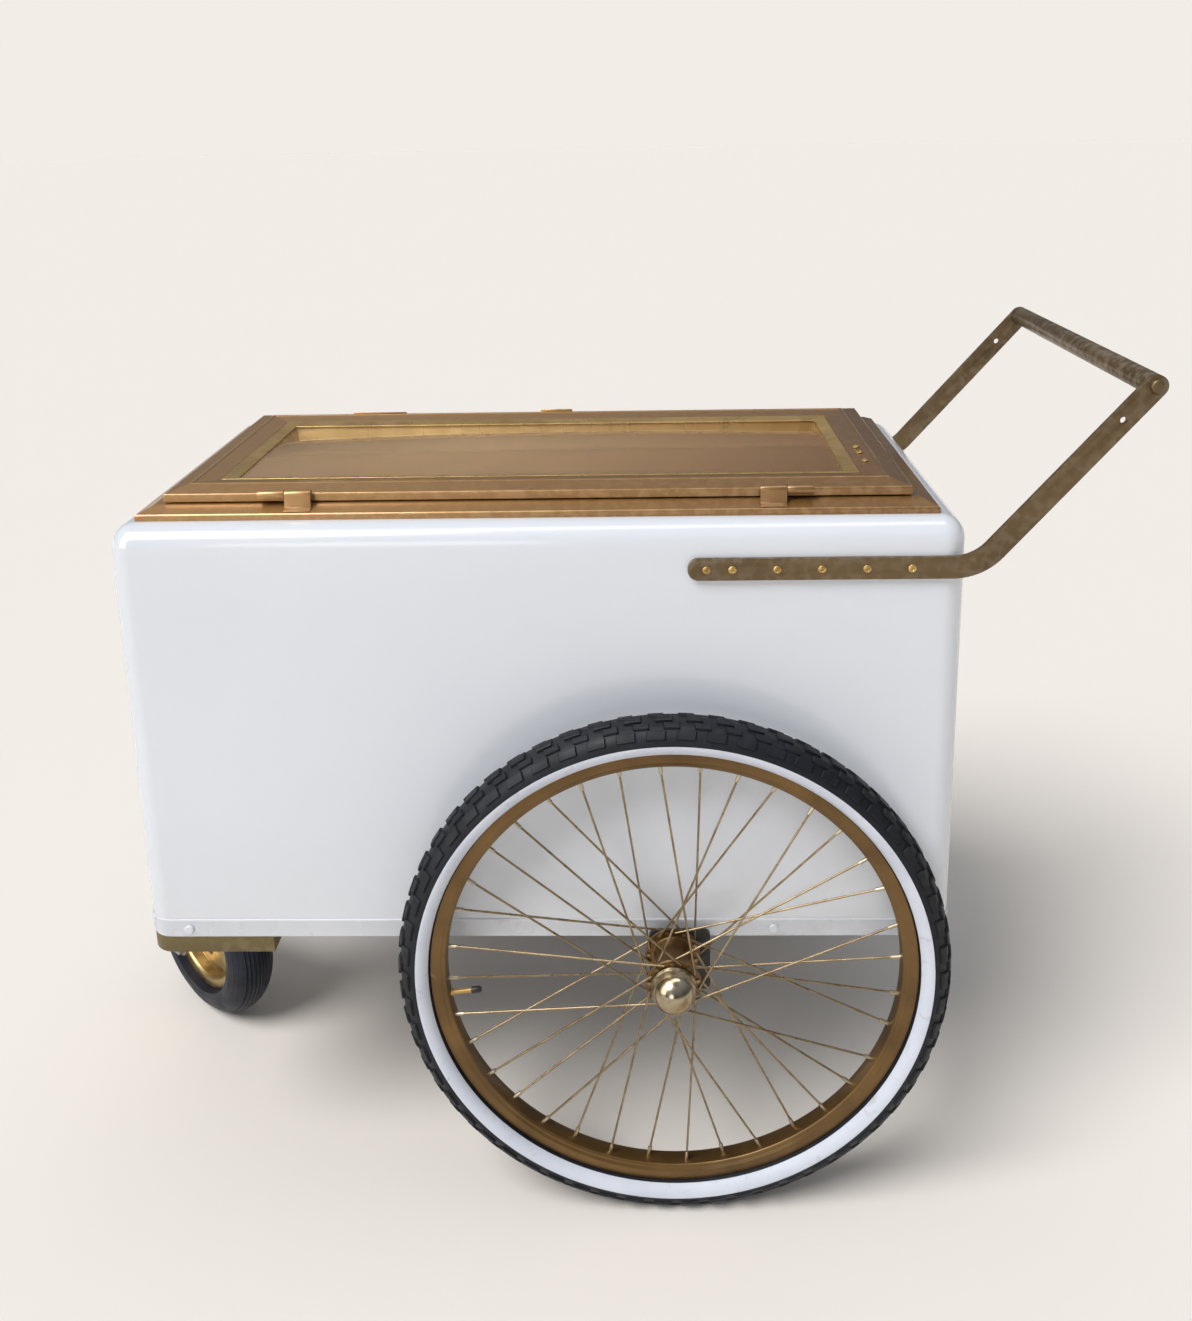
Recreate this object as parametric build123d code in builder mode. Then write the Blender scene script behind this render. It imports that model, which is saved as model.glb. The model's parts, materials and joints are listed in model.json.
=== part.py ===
from build123d import *
from math import cos, sin, tan, radians
import os

# Push vending cart: an insulated box with a glazed lid, carried by two spoked
# wheels on a through axle and by one swivel caster, with a push handle at the rear.
# Frame: +X to the handle, +Y to the far side, +Z up, origin on the ground under
# the middle of the whole cart. All sizes are in millimetres.

# ---------------------------------------------------------------- driving sizes
# Cabinet
BODY_LENGTH = 985.0
BODY_WIDTH = 481.0
BODY_HEIGHT = 529.0
BODY_CORNER = 29.0
BODY_TOP_ROUND = 27.0
SHELL_WALL = 4.0
AXLE_TO_REAR = 338.5
AXLE_BELOW_PAN = 1.06
DECK_MARGIN = 88.0
LINER_WALL = 2.0
LINER_CORNER = 20.0
FLOOR_INSULATION = 62.0
PAN_THICKNESS = 2.0
BAND_HEIGHT = 25.0
BAND_WALL = 1.2
SKIN_GAP = 0.1

# Rivets and openings in the lower band
RIVET_RADIUS = 6.0
RIVET_HEAD_HEIGHT = 2.6
RIVET_HEIGHT = 11.5
RIVET_FRONT = 53.0
RIVET_REAR = 215.0
DRAIN_FROM_AXLE = -61.0
DRAIN_LENGTH = 12.0
DRAIN_HEIGHT = 5.0

# Lid surround on the cabinet deck: margins are from the cabinet outline, rises
# are from the cabinet top
BASE_MARGIN = 28.0
BASE_EDGE_RISE = 8.0
BASE_SLOPE = 18.0
BASE_RISE = 15.0
GASKET_MARGIN = 71.0
GASKET_WIDTH = 11.0
GASKET_THICKNESS = 1.7
SEAL_GAP = 0.3

# Lid
LID_MARGIN_NEAR = 47.0
LID_MARGIN_FAR = 42.0
LID_MARGIN_SIDE = 56.0
LID_EDGE_THICKNESS = 10.0
LID_RIDGE = 26.0
LID_RIDGE_RISE = 6.0
LID_RAIL_WIDTH = 52.0
LID_INNER_DROP = 3.5
LEDGE_THICKNESS = 2.8
LEDGE_WIDTH = 12.0
GLASS_THICKNESS = 5.0
GLASS_GAP = 0.5
BEAD_WIDTH = 16.0
BEAD_LIP = 1.5

# Lid hinges
HINGE_OFFSET = 291.0
HINGE_LENGTH = 62.0
KNUCKLE_RADIUS = 5.5
HINGE_PIN_RADIUS = 3.0
PIN_CLEARANCE = 0.05
KNUCKLE_GAP = 0.5
LEAF_THICKNESS = 2.0
LEAF_FOOT_THICKNESS = 1.6
LEAF_LIFT = 1.0
LEAF_INSET = 2.0

# Lid furniture
PULL_LENGTH = 45.0
PULL_THICKNESS = 4.0
STOP_LENGTH = 76.0
STOP_THICKNESS = 2.5
PLATE_REACH = 14.0
PLATE_LIFT = 2.0
STOP_FROM_CENTRE = 260.0
LID_SCREW_LENGTH = 9.0
LID_SCREW_PLACES = (-99.0, -60.0, -34.0)

# Handle
BAR_WIDTH = 25.4
BAR_THICKNESS = 6.35
BAR_DROP = 53.0
BAR_FRONT = 318.0
HANDLE_REACH = 190.3
HANDLE_RISE = 206.0
HANDLE_SLOPE = 48.5
BEND_RADIUS = 60.0
TUBE_RADIUS = 12.7
TUBE_WALL = 2.0
TUBE_PLUG = 20.0
HANDLE_BOLT_HEAD = 8.0
HANDLE_BOLT_HEAD_HEIGHT = 4.5
HANDLE_HOLE_RADIUS = 4.0
HANDLE_HOLE_BACK = 50.0
FIRST_SCREW = 21.4
SECOND_SCREW = 50.6
SCREW_PITCH = 50.5
SCREW_HEAD_RADIUS = 4.6
SCREW_HEAD_HEIGHT = 2.4
SCREW_RADIUS = 2.4
HEAD_ROUNDING = 0.9
SCREW_CLEARANCE = 0.1
BACKING_THICKNESS = 4.0

# Road wheels: across positions are from the wheel's middle plane, outwards
TRACK = 574.0
RIM_RADIUS = 287.0
RIM_DEPTH = 19.0
RIM_HALF_WIDTH = 14.0
RIM_WALL = 2.5
RIM_FLOOR = 8.0
RIM_BEVEL = 5.0
TYRE_RISE = 39.4
TYRE_HALF_WIDTH = 27.0
CASING = 3.6
AXLE_RADIUS = 7.94
BEARING_CLEARANCE = 0.05
BEARING_RADIUS = 17.5
BEARING_WIDTH = 11.1
BEARING_FIT = 0.02
BEARING_SHOULDER = 4.0
SEAT_PLAY = 0.1
BEARING_RECESS = 0.6
BARREL_RADIUS = 19.5
HUB_HALF_WIDTH = 37.0
FLANGE_PLACE = 28.0
FLANGE_THICKNESS = 3.0
FLANGE_RADIUS = 33.0
SPOKE_CIRCLE = 29.0
SPOKE_RADIUS = 1.3
SPOKE_HEAD_RADIUS = 2.2
SPOKE_HEAD_THICKNESS = 1.0
SPOKE_FLANGE_GAP = 0.1
SPOKE_SEAT = 5.0
SPOKE_STAGGER = 2.0
NIPPLE_RADIUS = 2.4
NIPPLE_LENGTH = 15.0
SPOKES_PER_FLANGE = 18
SPOKE_CROSS_ANGLE = 60.0
CAP_RADIUS = 26.5
CAP_WALL = 1.8
CAP_SKIRT = 7.0
CAP_GAP = 1.0
CAP_GROOVE = 0.9
CAP_GROOVE_PLACES = (2.2, 4.8)
COLLAR_RADIUS = 13.0
WASHER_RADIUS = 14.5
WASHER_THICKNESS = 1.5
AXLE_NUT_FLATS = 24.0
AXLE_NUT_HEIGHT = 9.0
AXLE_END = 14.0
SIDE_PLAY = 0.3
VALVE_RADIUS = 3.2
VALVE_LENGTH = 25.0
VALVE_CAP_RADIUS = 4.1
VALVE_CAP_LENGTH = 12.0
VALVE_ANGLES = {"near": 187.0, "far": 55.0}
SPOKE_PHASES = {"near": 3.0, "far": 3.0}

# Axle brackets
BRACKET_THICKNESS = 6.0
BRACKET_FRONT = 28.0
BRACKET_REAR = 46.0
BRACKET_BELOW = 60.0
BRACKET_LAP = 12.0
BRACKET_CORNER = 8.0
FOOT_DEPTH = 62.0
FOOT_THICKNESS = 4.0
BRACKET_SLOT = 18.0

# Caster board and caster
BOARD_LENGTH = 156.0
BOARD_THICKNESS = 21.0
CASTER_INSET = 33.5
CASTER_RADIUS = 127.0
CASTER_HALF_WIDTH = 34.5
CASTER_RIM_RADIUS = 84.0
CASTER_RIM_HALF_WIDTH = 21.0
CASTER_TRAIL = 97.0
CASTER_TURN = 40.0
CASTER_PLATE = 5.0
CASTER_PLATE_LENGTH = 115.0
CASTER_PLATE_WIDTH = 100.0
CASTER_BOLT_X = 88.0
CASTER_BOLT_Y = 74.0
RACE_OUTER = 31.0
RACE_INNER = 21.0
RACE_HEIGHT = 7.0
RACE_GAP = 0.3
KINGPIN_RADIUS = 8.0
KINGPIN_HEAD = 13.0
KINGPIN_HEAD_HEIGHT = 6.0
FORK_THICKNESS = 5.0
FORK_GAP = 16.0
FORK_EYE = 15.0
FORK_EDGE = 8.0
FORK_CORNER = 6.0
CASTER_AXLE_RADIUS = 6.0
CASTER_BEARING_RADIUS = 17.5
CASTER_BEARING_WIDTH = 10.0
CASTER_HUB_RADIUS = 22.0
CASTER_VALVE_RADIUS = 3.5
CASTER_NUT_FLATS = 19.0
CASTER_NUT_HEIGHT = 10.0
CASTER_BOLT_HEAD_HEIGHT = 7.5
CASTER_BOLT_END = 3.0
SLEEVE_WALL = 3.0
SLEEVE_GAP = 0.5
RIM_DISC = 3.0
RIM_WELL_DEPTH = 12.0
RIM_HOLES = 5
RIM_HOLE_RADIUS = 7.0
RIM_FLARE = 1.0
TYRE_FIT = 0.4
CASTER_VALVE_COURSE = ((0, 1, -8), (0, 16, 2), (-8, 18, 24))  # along, inwards, outwards

# Bolts
BOLT_RADIUS = 4.0
BOLT_HEAD = 13.0
BOLT_HEAD_HEIGHT = 5.3
BOLT_CLEARANCE = 0.3
BOLT_NUT_HEIGHT = 6.5
BOLT_TAIL = 2.0
PIN_POCKET = 4.0
FOAM_POCKET_RADIUS = 10.0
FOAM_POCKET_DEPTH = 13.0
FOAM_GAP = 0.2

# ------------------------------------------------------------------ worked out
WHEEL_RADIUS = RIM_RADIUS + TYRE_RISE
AXLE_HEIGHT = WHEEL_RADIUS
AXLE_DROP = AXLE_RADIUS + AXLE_BELOW_PAN
BODY_BOTTOM = AXLE_HEIGHT + AXLE_DROP
BODY_TOP = BODY_BOTTOM + BODY_HEIGHT

# The cart's two ends, from the axle: the handle's rounded bar ends at the rear
# and the caster tyre, turned by CASTER_TURN, at the front
CASTER_FROM_AXLE = BODY_LENGTH - AXLE_TO_REAR - CASTER_INSET
turn = radians(CASTER_TURN)
rear_reach = AXLE_TO_REAR + HANDLE_REACH + BAR_WIDTH / 2
tread_reach = (CASTER_RADIUS - CASTER_HALF_WIDTH) * cos(turn) + CASTER_HALF_WIDTH
front_reach = CASTER_FROM_AXLE + CASTER_TRAIL * cos(turn) + tread_reach
AXLE_X = (front_reach - rear_reach) / 2

REAR_X = AXLE_X + AXLE_TO_REAR
FRONT_X = REAR_X - BODY_LENGTH
BODY_X = (FRONT_X + REAR_X) / 2
SIDE_Y = BODY_WIDTH / 2
BAND_Y = SIDE_Y + SKIN_GAP + BAND_WALL
SHELL_BOTTOM = BODY_BOTTOM + PAN_THICKNESS
LINER_FLOOR = BODY_BOTTOM + PAN_THICKNESS + FLOOR_INSULATION
BASE_TOP = BODY_TOP + BASE_RISE
LID_BOTTOM = BASE_TOP + GASKET_THICKNESS + SEAL_GAP
LID_EDGE_TOP = LID_BOTTOM + LID_EDGE_THICKNESS
LID_RIDGE_TOP = LID_EDGE_TOP + LID_RIDGE_RISE
GLASS_BOTTOM = LID_BOTTOM + LEDGE_THICKNESS
GLASS_TOP = GLASS_BOTTOM + GLASS_THICKNESS
LID_INNER_TOP = LID_RIDGE_TOP - LID_INNER_DROP
LID_FRONT_X = FRONT_X + LID_MARGIN_SIDE
LID_REAR_X = REAR_X - LID_MARGIN_SIDE
LID_NEAR_Y = -SIDE_Y + LID_MARGIN_NEAR
LID_FAR_Y = SIDE_Y - LID_MARGIN_FAR
LID_X = (LID_FRONT_X + LID_REAR_X) / 2
LID_Y = (LID_NEAR_Y + LID_FAR_Y) / 2
LID_LENGTH = LID_REAR_X - LID_FRONT_X
LID_WIDTH = LID_FAR_Y - LID_NEAR_Y
HINGE_Y = LID_NEAR_Y - KNUCKLE_GAP - KNUCKLE_RADIUS
HINGE_Z = LID_EDGE_TOP
BAR_Z = BODY_TOP - BAR_DROP
HANDLE_X = REAR_X + HANDLE_REACH
HANDLE_Z = BAR_Z + HANDLE_RISE
CORNER_X = HANDLE_X - HANDLE_RISE / tan(radians(HANDLE_SLOPE))
BAR_FRONT_X = REAR_X - BAR_FRONT
BAR_OUTER_Y = SIDE_Y + BAR_THICKNESS
PIVOT_X = AXLE_X - CASTER_FROM_AXLE
BOARD_BOTTOM = BODY_BOTTOM - BOARD_THICKNESS
PLATE_BOTTOM = BOARD_BOTTOM - CASTER_PLATE
CROWN_TOP = PLATE_BOTTOM - 2 * RACE_HEIGHT
CROWN_BOTTOM = CROWN_TOP - FORK_THICKNESS
LEG_INNER = CASTER_HALF_WIDTH + FORK_GAP
LEG_OUTER = LEG_INNER + FORK_THICKNESS
PLATE_OUTER_Y = BAND_Y + BRACKET_THICKNESS

AXLE_LINE = Axis((AXLE_X, 0, AXLE_HEIGHT), (0, 1, 0))
SIDES = {"near": -1, "far": 1}


def save(piece, name):
    """Label a finished piece and write its STEP file."""
    piece.label = name
    export_step(piece, f"parts/{name}.step")


def save_group(solids, name):
    """Write several separate solids as one node."""
    save(Compound(children=solids), name)


os.makedirs("parts", exist_ok=True)


# ---------------------------------------------------------------------- layouts
screw_xs = [BAR_FRONT_X + FIRST_SCREW, BAR_FRONT_X + SECOND_SCREW]
screw_xs += [BAR_FRONT_X + SECOND_SCREW + SCREW_PITCH * step for step in range(1, 5)]

rivet_xs = (FRONT_X + RIVET_FRONT, REAR_X - RIVET_REAR)

foot_y = BAND_Y - FOOT_DEPTH / 2
foot_front_x = AXLE_X - (BRACKET_FRONT + BRACKET_SLOT / 2) / 2
foot_rear_x = AXLE_X + (BRACKET_REAR + BRACKET_SLOT / 2) / 2
foot_bolts = [(x, y) for x in (foot_front_x, foot_rear_x) for y in (-foot_y, foot_y)]

CASTER_AXES = Plane(origin=(PIVOT_X, 0, 0), x_dir=(-cos(turn), sin(turn), 0), z_dir=(0, 0, 1))
caster_bolts = [
    (PIVOT_X + x * CASTER_BOLT_X / 2, y * CASTER_BOLT_Y / 2) for x in (-1, 1) for y in (-1, 1)
]


# ---------------------------------------------------------------------- cabinet
def cabinet_block(inset):
    """Solid block inside the cabinet's outline, round-cornered and round-topped."""
    with BuildPart() as block:
        with BuildSketch(Plane.XY.offset(SHELL_BOTTOM)):
            with Locations((BODY_X, 0)):
                RectangleRounded(BODY_LENGTH - 2 * inset, BODY_WIDTH - 2 * inset, BODY_CORNER - inset)
        extrude(amount=BODY_TOP - inset - SHELL_BOTTOM)
        fillet(block.edges().group_by(Axis.Z)[-1], BODY_TOP_ROUND - inset)
    return block.part


shell_outside = cabinet_block(0)
shell_inside = cabinet_block(SHELL_WALL)
with BuildPart() as body_shell:
    add(shell_outside)
    add(shell_inside, mode=Mode.SUBTRACT)
    with BuildSketch(Plane.XY.offset(BODY_TOP - 2 * SHELL_WALL)):
        with Locations((BODY_X, 0)):
            RectangleRounded(
                BODY_LENGTH - 2 * DECK_MARGIN + 2 * LINER_WALL,
                BODY_WIDTH - 2 * DECK_MARGIN + 2 * LINER_WALL,
                LINER_CORNER + LINER_WALL,
            )
    extrude(amount=3 * SHELL_WALL, mode=Mode.SUBTRACT)
    with BuildSketch(Plane.XZ):
        with Locations(*[(x, BAR_Z) for x in screw_xs]):
            Circle(SCREW_RADIUS + SCREW_CLEARANCE)
    extrude(amount=BODY_WIDTH, both=True, mode=Mode.SUBTRACT)
    with BuildSketch(Plane.XZ):
        with Locations(*[(x, BODY_BOTTOM + RIVET_HEIGHT) for x in rivet_xs]):
            Circle(SCREW_RADIUS + SCREW_CLEARANCE)
    extrude(amount=BODY_WIDTH, both=True, mode=Mode.SUBTRACT)
save(body_shell.part, "body_shell")

with BuildPart() as bottom_pan:
    band_grow = 2 * (SKIN_GAP + BAND_WALL)
    with BuildSketch(Plane.XY.offset(BODY_BOTTOM)):
        with Locations((BODY_X, 0)):
            RectangleRounded(
                BODY_LENGTH + band_grow, BODY_WIDTH + band_grow, BODY_CORNER + band_grow / 2
            )
    extrude(amount=BAND_HEIGHT)
    with BuildSketch(Plane.XY.offset(SHELL_BOTTOM)):
        with Locations((BODY_X, 0)):
            RectangleRounded(
                BODY_LENGTH + 2 * SKIN_GAP, BODY_WIDTH + 2 * SKIN_GAP, BODY_CORNER + SKIN_GAP
            )
    extrude(amount=BAND_HEIGHT, mode=Mode.SUBTRACT)
    with BuildSketch(Plane.XZ):
        with Locations(*[(x, BODY_BOTTOM + RIVET_HEIGHT) for x in rivet_xs]):
            Circle(SCREW_RADIUS + SCREW_CLEARANCE)
    extrude(amount=BODY_WIDTH, both=True, mode=Mode.SUBTRACT)
    with BuildSketch(Plane.XZ.offset(SIDE_Y)):
        with Locations((AXLE_X + DRAIN_FROM_AXLE, BODY_BOTTOM + RIVET_HEIGHT)):
            SlotOverall(DRAIN_LENGTH, DRAIN_HEIGHT)
    extrude(amount=2 * BAND_WALL, mode=Mode.SUBTRACT)
    with BuildSketch(Plane.XY.offset(BODY_BOTTOM)):
        with Locations(*(foot_bolts + caster_bolts)):
            Circle(BOLT_RADIUS + BOLT_CLEARANCE)
    extrude(amount=PAN_THICKNESS, mode=Mode.SUBTRACT)
save(bottom_pan.part, "bottom_pan")

with BuildPart() as liner:
    with BuildSketch(Plane.XY.offset(LINER_FLOOR)):
        with Locations((BODY_X, 0)):
            RectangleRounded(
                BODY_LENGTH - 2 * DECK_MARGIN + 2 * LINER_WALL - 2 * FOAM_GAP,
                BODY_WIDTH - 2 * DECK_MARGIN + 2 * LINER_WALL - 2 * FOAM_GAP,
                LINER_CORNER + LINER_WALL - FOAM_GAP,
            )
    extrude(amount=BODY_TOP - LINER_FLOOR)
    with BuildSketch(Plane.XY.offset(LINER_FLOOR + LINER_WALL)):
        with Locations((BODY_X, 0)):
            RectangleRounded(
                BODY_LENGTH - 2 * DECK_MARGIN, BODY_WIDTH - 2 * DECK_MARGIN, LINER_CORNER
            )
    extrude(amount=BODY_HEIGHT, mode=Mode.SUBTRACT)
save(liner.part, "liner")

foam_block = cabinet_block(SHELL_WALL + FOAM_GAP)
with BuildPart() as foam_core:
    add(foam_block)
    with BuildSketch(Plane.XY.offset(LINER_FLOOR)):
        with Locations((BODY_X, 0)):
            RectangleRounded(
                BODY_LENGTH - 2 * DECK_MARGIN + 2 * LINER_WALL,
                BODY_WIDTH - 2 * DECK_MARGIN + 2 * LINER_WALL,
                LINER_CORNER + LINER_WALL,
            )
    extrude(amount=BODY_HEIGHT, mode=Mode.SUBTRACT)
    with BuildSketch(Plane.XY.offset(SHELL_BOTTOM)):
        with Locations(*(foot_bolts + caster_bolts)):
            Circle(FOAM_POCKET_RADIUS)
    extrude(amount=FOAM_POCKET_DEPTH, mode=Mode.SUBTRACT)
    strip_x = (screw_xs[0] + screw_xs[-1]) / 2
    strip_length = screw_xs[-1] - screw_xs[0] + BAR_WIDTH
    with BuildSketch(Plane.XY.offset(BAR_Z - BAR_WIDTH / 2 - FOAM_GAP)):
        with Locations((strip_x, -SIDE_Y), (strip_x, SIDE_Y)):
            Rectangle(strip_length + 2 * FOAM_GAP, 2 * (SHELL_WALL + 3 * BACKING_THICKNESS))
    extrude(amount=BAR_WIDTH + 2 * FOAM_GAP, mode=Mode.SUBTRACT)
    with BuildSketch(Plane.XZ):
        with Locations(*[(x, BODY_BOTTOM + RIVET_HEIGHT) for x in rivet_xs]):
            Circle(2 * SCREW_RADIUS)
    extrude(amount=SIDE_Y, both=True, mode=Mode.SUBTRACT)
save(foam_core.part, "foam_core")


def backing_strip(side):
    """Steel strip behind the shell that the handle's screws bite into."""
    with BuildPart() as strip:
        with BuildSketch(Plane.XZ.offset(-side * (SIDE_Y - SHELL_WALL))):
            with Locations((strip_x, BAR_Z)):
                Rectangle(strip_length, BAR_WIDTH)
            with Locations(*[(x, BAR_Z) for x in screw_xs]):
                Circle(SCREW_RADIUS, mode=Mode.SUBTRACT)
        extrude(amount=side * BACKING_THICKNESS)
    return strip.part


save_group([backing_strip(side) for side in SIDES.values()], "backing_strips")


def domed_fixing(seat, outwards, head_radius, head_height, shank_radius, shank_length):
    """Round-headed fixing: its head stands out from the seat point, its shank goes in."""
    face = Plane(origin=seat, z_dir=outwards)
    with BuildPart() as fixing:
        with BuildSketch(face):
            Circle(head_radius)
        extrude(amount=head_height)
        crown = fixing.faces().sort_by(Axis(seat, outwards))[-1]
        fillet(crown.edges(), head_height * HEAD_ROUNDING)
        with BuildSketch(face):
            Circle(shank_radius)
        extrude(amount=-shank_length)
    return fixing.part


pan_rivets = [
    domed_fixing(
        (x, side * BAND_Y, BODY_BOTTOM + RIVET_HEIGHT),
        (0, side, 0),
        RIVET_RADIUS,
        RIVET_HEAD_HEIGHT,
        SCREW_RADIUS,
        2 * SHELL_WALL,
    )
    for x in rivet_xs
    for side in SIDES.values()
]
save_group(pan_rivets, "pan_rivets")


# ------------------------------------------------------------- mitred rail frames
def ridge_z(inwards):
    """Height of the lid rail's top, a distance inwards of the lid's edge."""
    if inwards < LID_RIDGE:
        return LID_EDGE_TOP + inwards * LID_RIDGE_RISE / LID_RIDGE
    return LID_RIDGE_TOP - (inwards - LID_RIDGE) * inner_slope


inner_slope = LID_INNER_DROP / (LID_RAIL_WIDTH - LID_RIDGE)
screw_inwards = (LID_RIDGE + LID_RAIL_WIDTH) / 2
screw_outwards = (-inner_slope, 0, 1)
lid_screw_seats = [(LID_REAR_X - screw_inwards, y, ridge_z(screw_inwards)) for y in LID_SCREW_PLACES]


def mitred_rail(name, edge, margins, profile, screw_seats=()):
    """One side of a picture frame: profile is (distance inwards, height) points,
    measured from the frame's outer edge, cut at 45 degrees at both ends, and
    drilled square to its inner slope at each screw seat."""
    front = FRONT_X + margins["side"]
    rear = REAR_X - margins["side"]
    near = -SIDE_Y + margins["near"]
    far = SIDE_Y - margins["far"]
    middle_x = (front + rear) / 2
    middle_y = (near + far) / 2
    starts = {
        "near": ((middle_x, near), (0, 1, 0), (1, 0, 0), (rear - front) / 2),
        "far": ((middle_x, far), (0, -1, 0), (-1, 0, 0), (rear - front) / 2),
        "front": ((front, middle_y), (1, 0, 0), (0, -1, 0), (far - near) / 2),
        "rear": ((rear, middle_y), (-1, 0, 0), (0, 1, 0), (far - near) / 2),
    }
    (x, y), inwards, along, half = starts[edge]
    depth = max(point[0] for point in profile)
    low = min(point[1] for point in profile)
    high = max(point[1] for point in profile)
    with BuildPart() as rail:
        with BuildSketch(Plane(origin=(x, y, 0), x_dir=inwards, z_dir=along)):
            with BuildLine():
                Polyline(*profile, close=True)
            make_face()
        extrude(amount=half, both=True)
        with BuildSketch(Plane(origin=(x, y, low), x_dir=along, z_dir=(0, 0, 1))):
            with BuildLine():
                inner_half = half - depth
                Polyline((-half, 0), (half, 0), (inner_half, depth), (-inner_half, depth), close=True)
            make_face()
        extrude(amount=high - low, mode=Mode.INTERSECT)
        for seat in screw_seats:
            with BuildSketch(Plane(origin=seat, z_dir=screw_outwards)):
                Circle(SCREW_RADIUS + SCREW_CLEARANCE)
            extrude(amount=2 * LID_SCREW_LENGTH, both=True, mode=Mode.SUBTRACT)
    save(rail.part, name)


base_margins = {"near": BASE_MARGIN, "far": BASE_MARGIN, "side": BASE_MARGIN}
base_depth = DECK_MARGIN - BASE_MARGIN
base_profile = [
    (0, BODY_TOP),
    (0, BODY_TOP + BASE_EDGE_RISE),
    (BASE_SLOPE, BASE_TOP),
    (base_depth, BASE_TOP),
    (base_depth, BODY_TOP),
]
lid_margins = {"near": LID_MARGIN_NEAR, "far": LID_MARGIN_FAR, "side": LID_MARGIN_SIDE}
lid_profile = [
    (0, LID_BOTTOM),
    (0, LID_EDGE_TOP),
    (LID_RIDGE, LID_RIDGE_TOP),
    (LID_RAIL_WIDTH, LID_INNER_TOP),
    (LID_RAIL_WIDTH, GLASS_BOTTOM),
    (LID_RAIL_WIDTH + LEDGE_WIDTH, GLASS_BOTTOM),
    (LID_RAIL_WIDTH + LEDGE_WIDTH, LID_BOTTOM),
]
screw_seats_by_edge = {"near": [], "far": [], "front": [], "rear": lid_screw_seats}
for edge, screw_seats in screw_seats_by_edge.items():
    mitred_rail(f"base_rail_{edge}", edge, base_margins, base_profile)
    mitred_rail(f"lid_rail_{edge}", edge, lid_margins, lid_profile, screw_seats)

with BuildPart() as lid_gasket:
    with BuildSketch(Plane.XY.offset(BASE_TOP)):
        with Locations((BODY_X, 0)):
            RectangleRounded(
                BODY_LENGTH - 2 * GASKET_MARGIN, BODY_WIDTH - 2 * GASKET_MARGIN, GASKET_WIDTH + 4
            )
            RectangleRounded(
                BODY_LENGTH - 2 * GASKET_MARGIN - 2 * GASKET_WIDTH,
                BODY_WIDTH - 2 * GASKET_MARGIN - 2 * GASKET_WIDTH,
                4,
                mode=Mode.SUBTRACT,
            )
    extrude(amount=GASKET_THICKNESS)
save(lid_gasket.part, "lid_gasket")

# ------------------------------------------------------------------- lid glazing
pane_length = LID_LENGTH - 2 * LID_RAIL_WIDTH - 2 * GLASS_GAP
pane_width = LID_WIDTH - 2 * LID_RAIL_WIDTH - 2 * GLASS_GAP

with BuildPart() as lid_glass:
    with BuildSketch(Plane.XY.offset(GLASS_BOTTOM)):
        with Locations((LID_X, LID_Y)):
            Rectangle(pane_length, pane_width)
    extrude(amount=GLASS_THICKNESS)
save(lid_glass.part, "lid_glass")

with BuildPart() as glazing_bead:
    with BuildSketch(Plane.XY.offset(GLASS_TOP)):
        with Locations((LID_X, LID_Y)):
            Rectangle(pane_length, pane_width)
            Rectangle(pane_length - 2 * BEAD_WIDTH, pane_width - 2 * BEAD_WIDTH, mode=Mode.SUBTRACT)
    extrude(amount=LID_INNER_TOP - GLASS_TOP)
    bead_top = glazing_bead.edges().group_by(Axis.Z)[-1]
    inner_half_x = pane_length / 2 - BEAD_WIDTH
    inner_half_y = pane_width / 2 - BEAD_WIDTH
    inner_edges = [
        edge
        for edge in bead_top
        if abs(edge.center().X - LID_X) <= inner_half_x + 0.1
        and abs(edge.center().Y - LID_Y) <= inner_half_y + 0.1
    ]
    chamfer(inner_edges, LID_INNER_TOP - GLASS_TOP - BEAD_LIP, BEAD_WIDTH - BEAD_LIP)
save(glazing_bead.part, "glazing_bead")


# ---------------------------------------------------------------------- hinges
def knuckle(x_start, length, leaf_points):
    """Hinge knuckle along X with its leaf, leaf_points being (y, z) corners."""
    with BuildPart() as leaf:
        with BuildSketch(Plane.YZ.offset(x_start)):
            with BuildLine():
                Polyline(*leaf_points, close=True)
            make_face()
            with Locations((HINGE_Y, HINGE_Z)):
                Circle(KNUCKLE_RADIUS)
                Circle(HINGE_PIN_RADIUS + PIN_CLEARANCE, mode=Mode.SUBTRACT)
        extrude(amount=length)
    return leaf.part


def slope_z(y):
    """Height of the near base rail's sloping face at y."""
    inwards = y + SIDE_Y - BASE_MARGIN
    return BODY_TOP + BASE_EDGE_RISE + inwards * (BASE_RISE - BASE_EDGE_RISE) / BASE_SLOPE


lid_leaf = [
    (LID_NEAR_Y, LID_BOTTOM + LEAF_LIFT),
    (LID_NEAR_Y, HINGE_Z),
    (HINGE_Y + HINGE_PIN_RADIUS + LEAF_LIFT, HINGE_Z),
    (LID_NEAR_Y - LEAF_THICKNESS, LID_BOTTOM + LEAF_LIFT),
]
tab_outer = HINGE_Y - KNUCKLE_RADIUS
tab_inner = tab_outer + (KNUCKLE_RADIUS - HINGE_PIN_RADIUS - 6 * PIN_CLEARANCE)
foot_outer = -SIDE_Y + BASE_MARGIN + LEAF_INSET
foot_inner = -SIDE_Y + BASE_MARGIN + BASE_SLOPE - LEAF_INSET / 2
base_leaf = [
    (foot_outer, slope_z(foot_outer)),
    (foot_inner, slope_z(foot_inner)),
    (foot_inner, slope_z(foot_inner) + LEAF_FOOT_THICKNESS),
    (tab_inner, slope_z(tab_inner) + LEAF_FOOT_THICKNESS),
    (tab_inner, HINGE_Z),
    (tab_outer, HINGE_Z),
    (tab_outer, slope_z(tab_outer) + LEAF_FOOT_THICKNESS),
    (foot_outer, slope_z(foot_outer) + LEAF_FOOT_THICKNESS),
]
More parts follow.
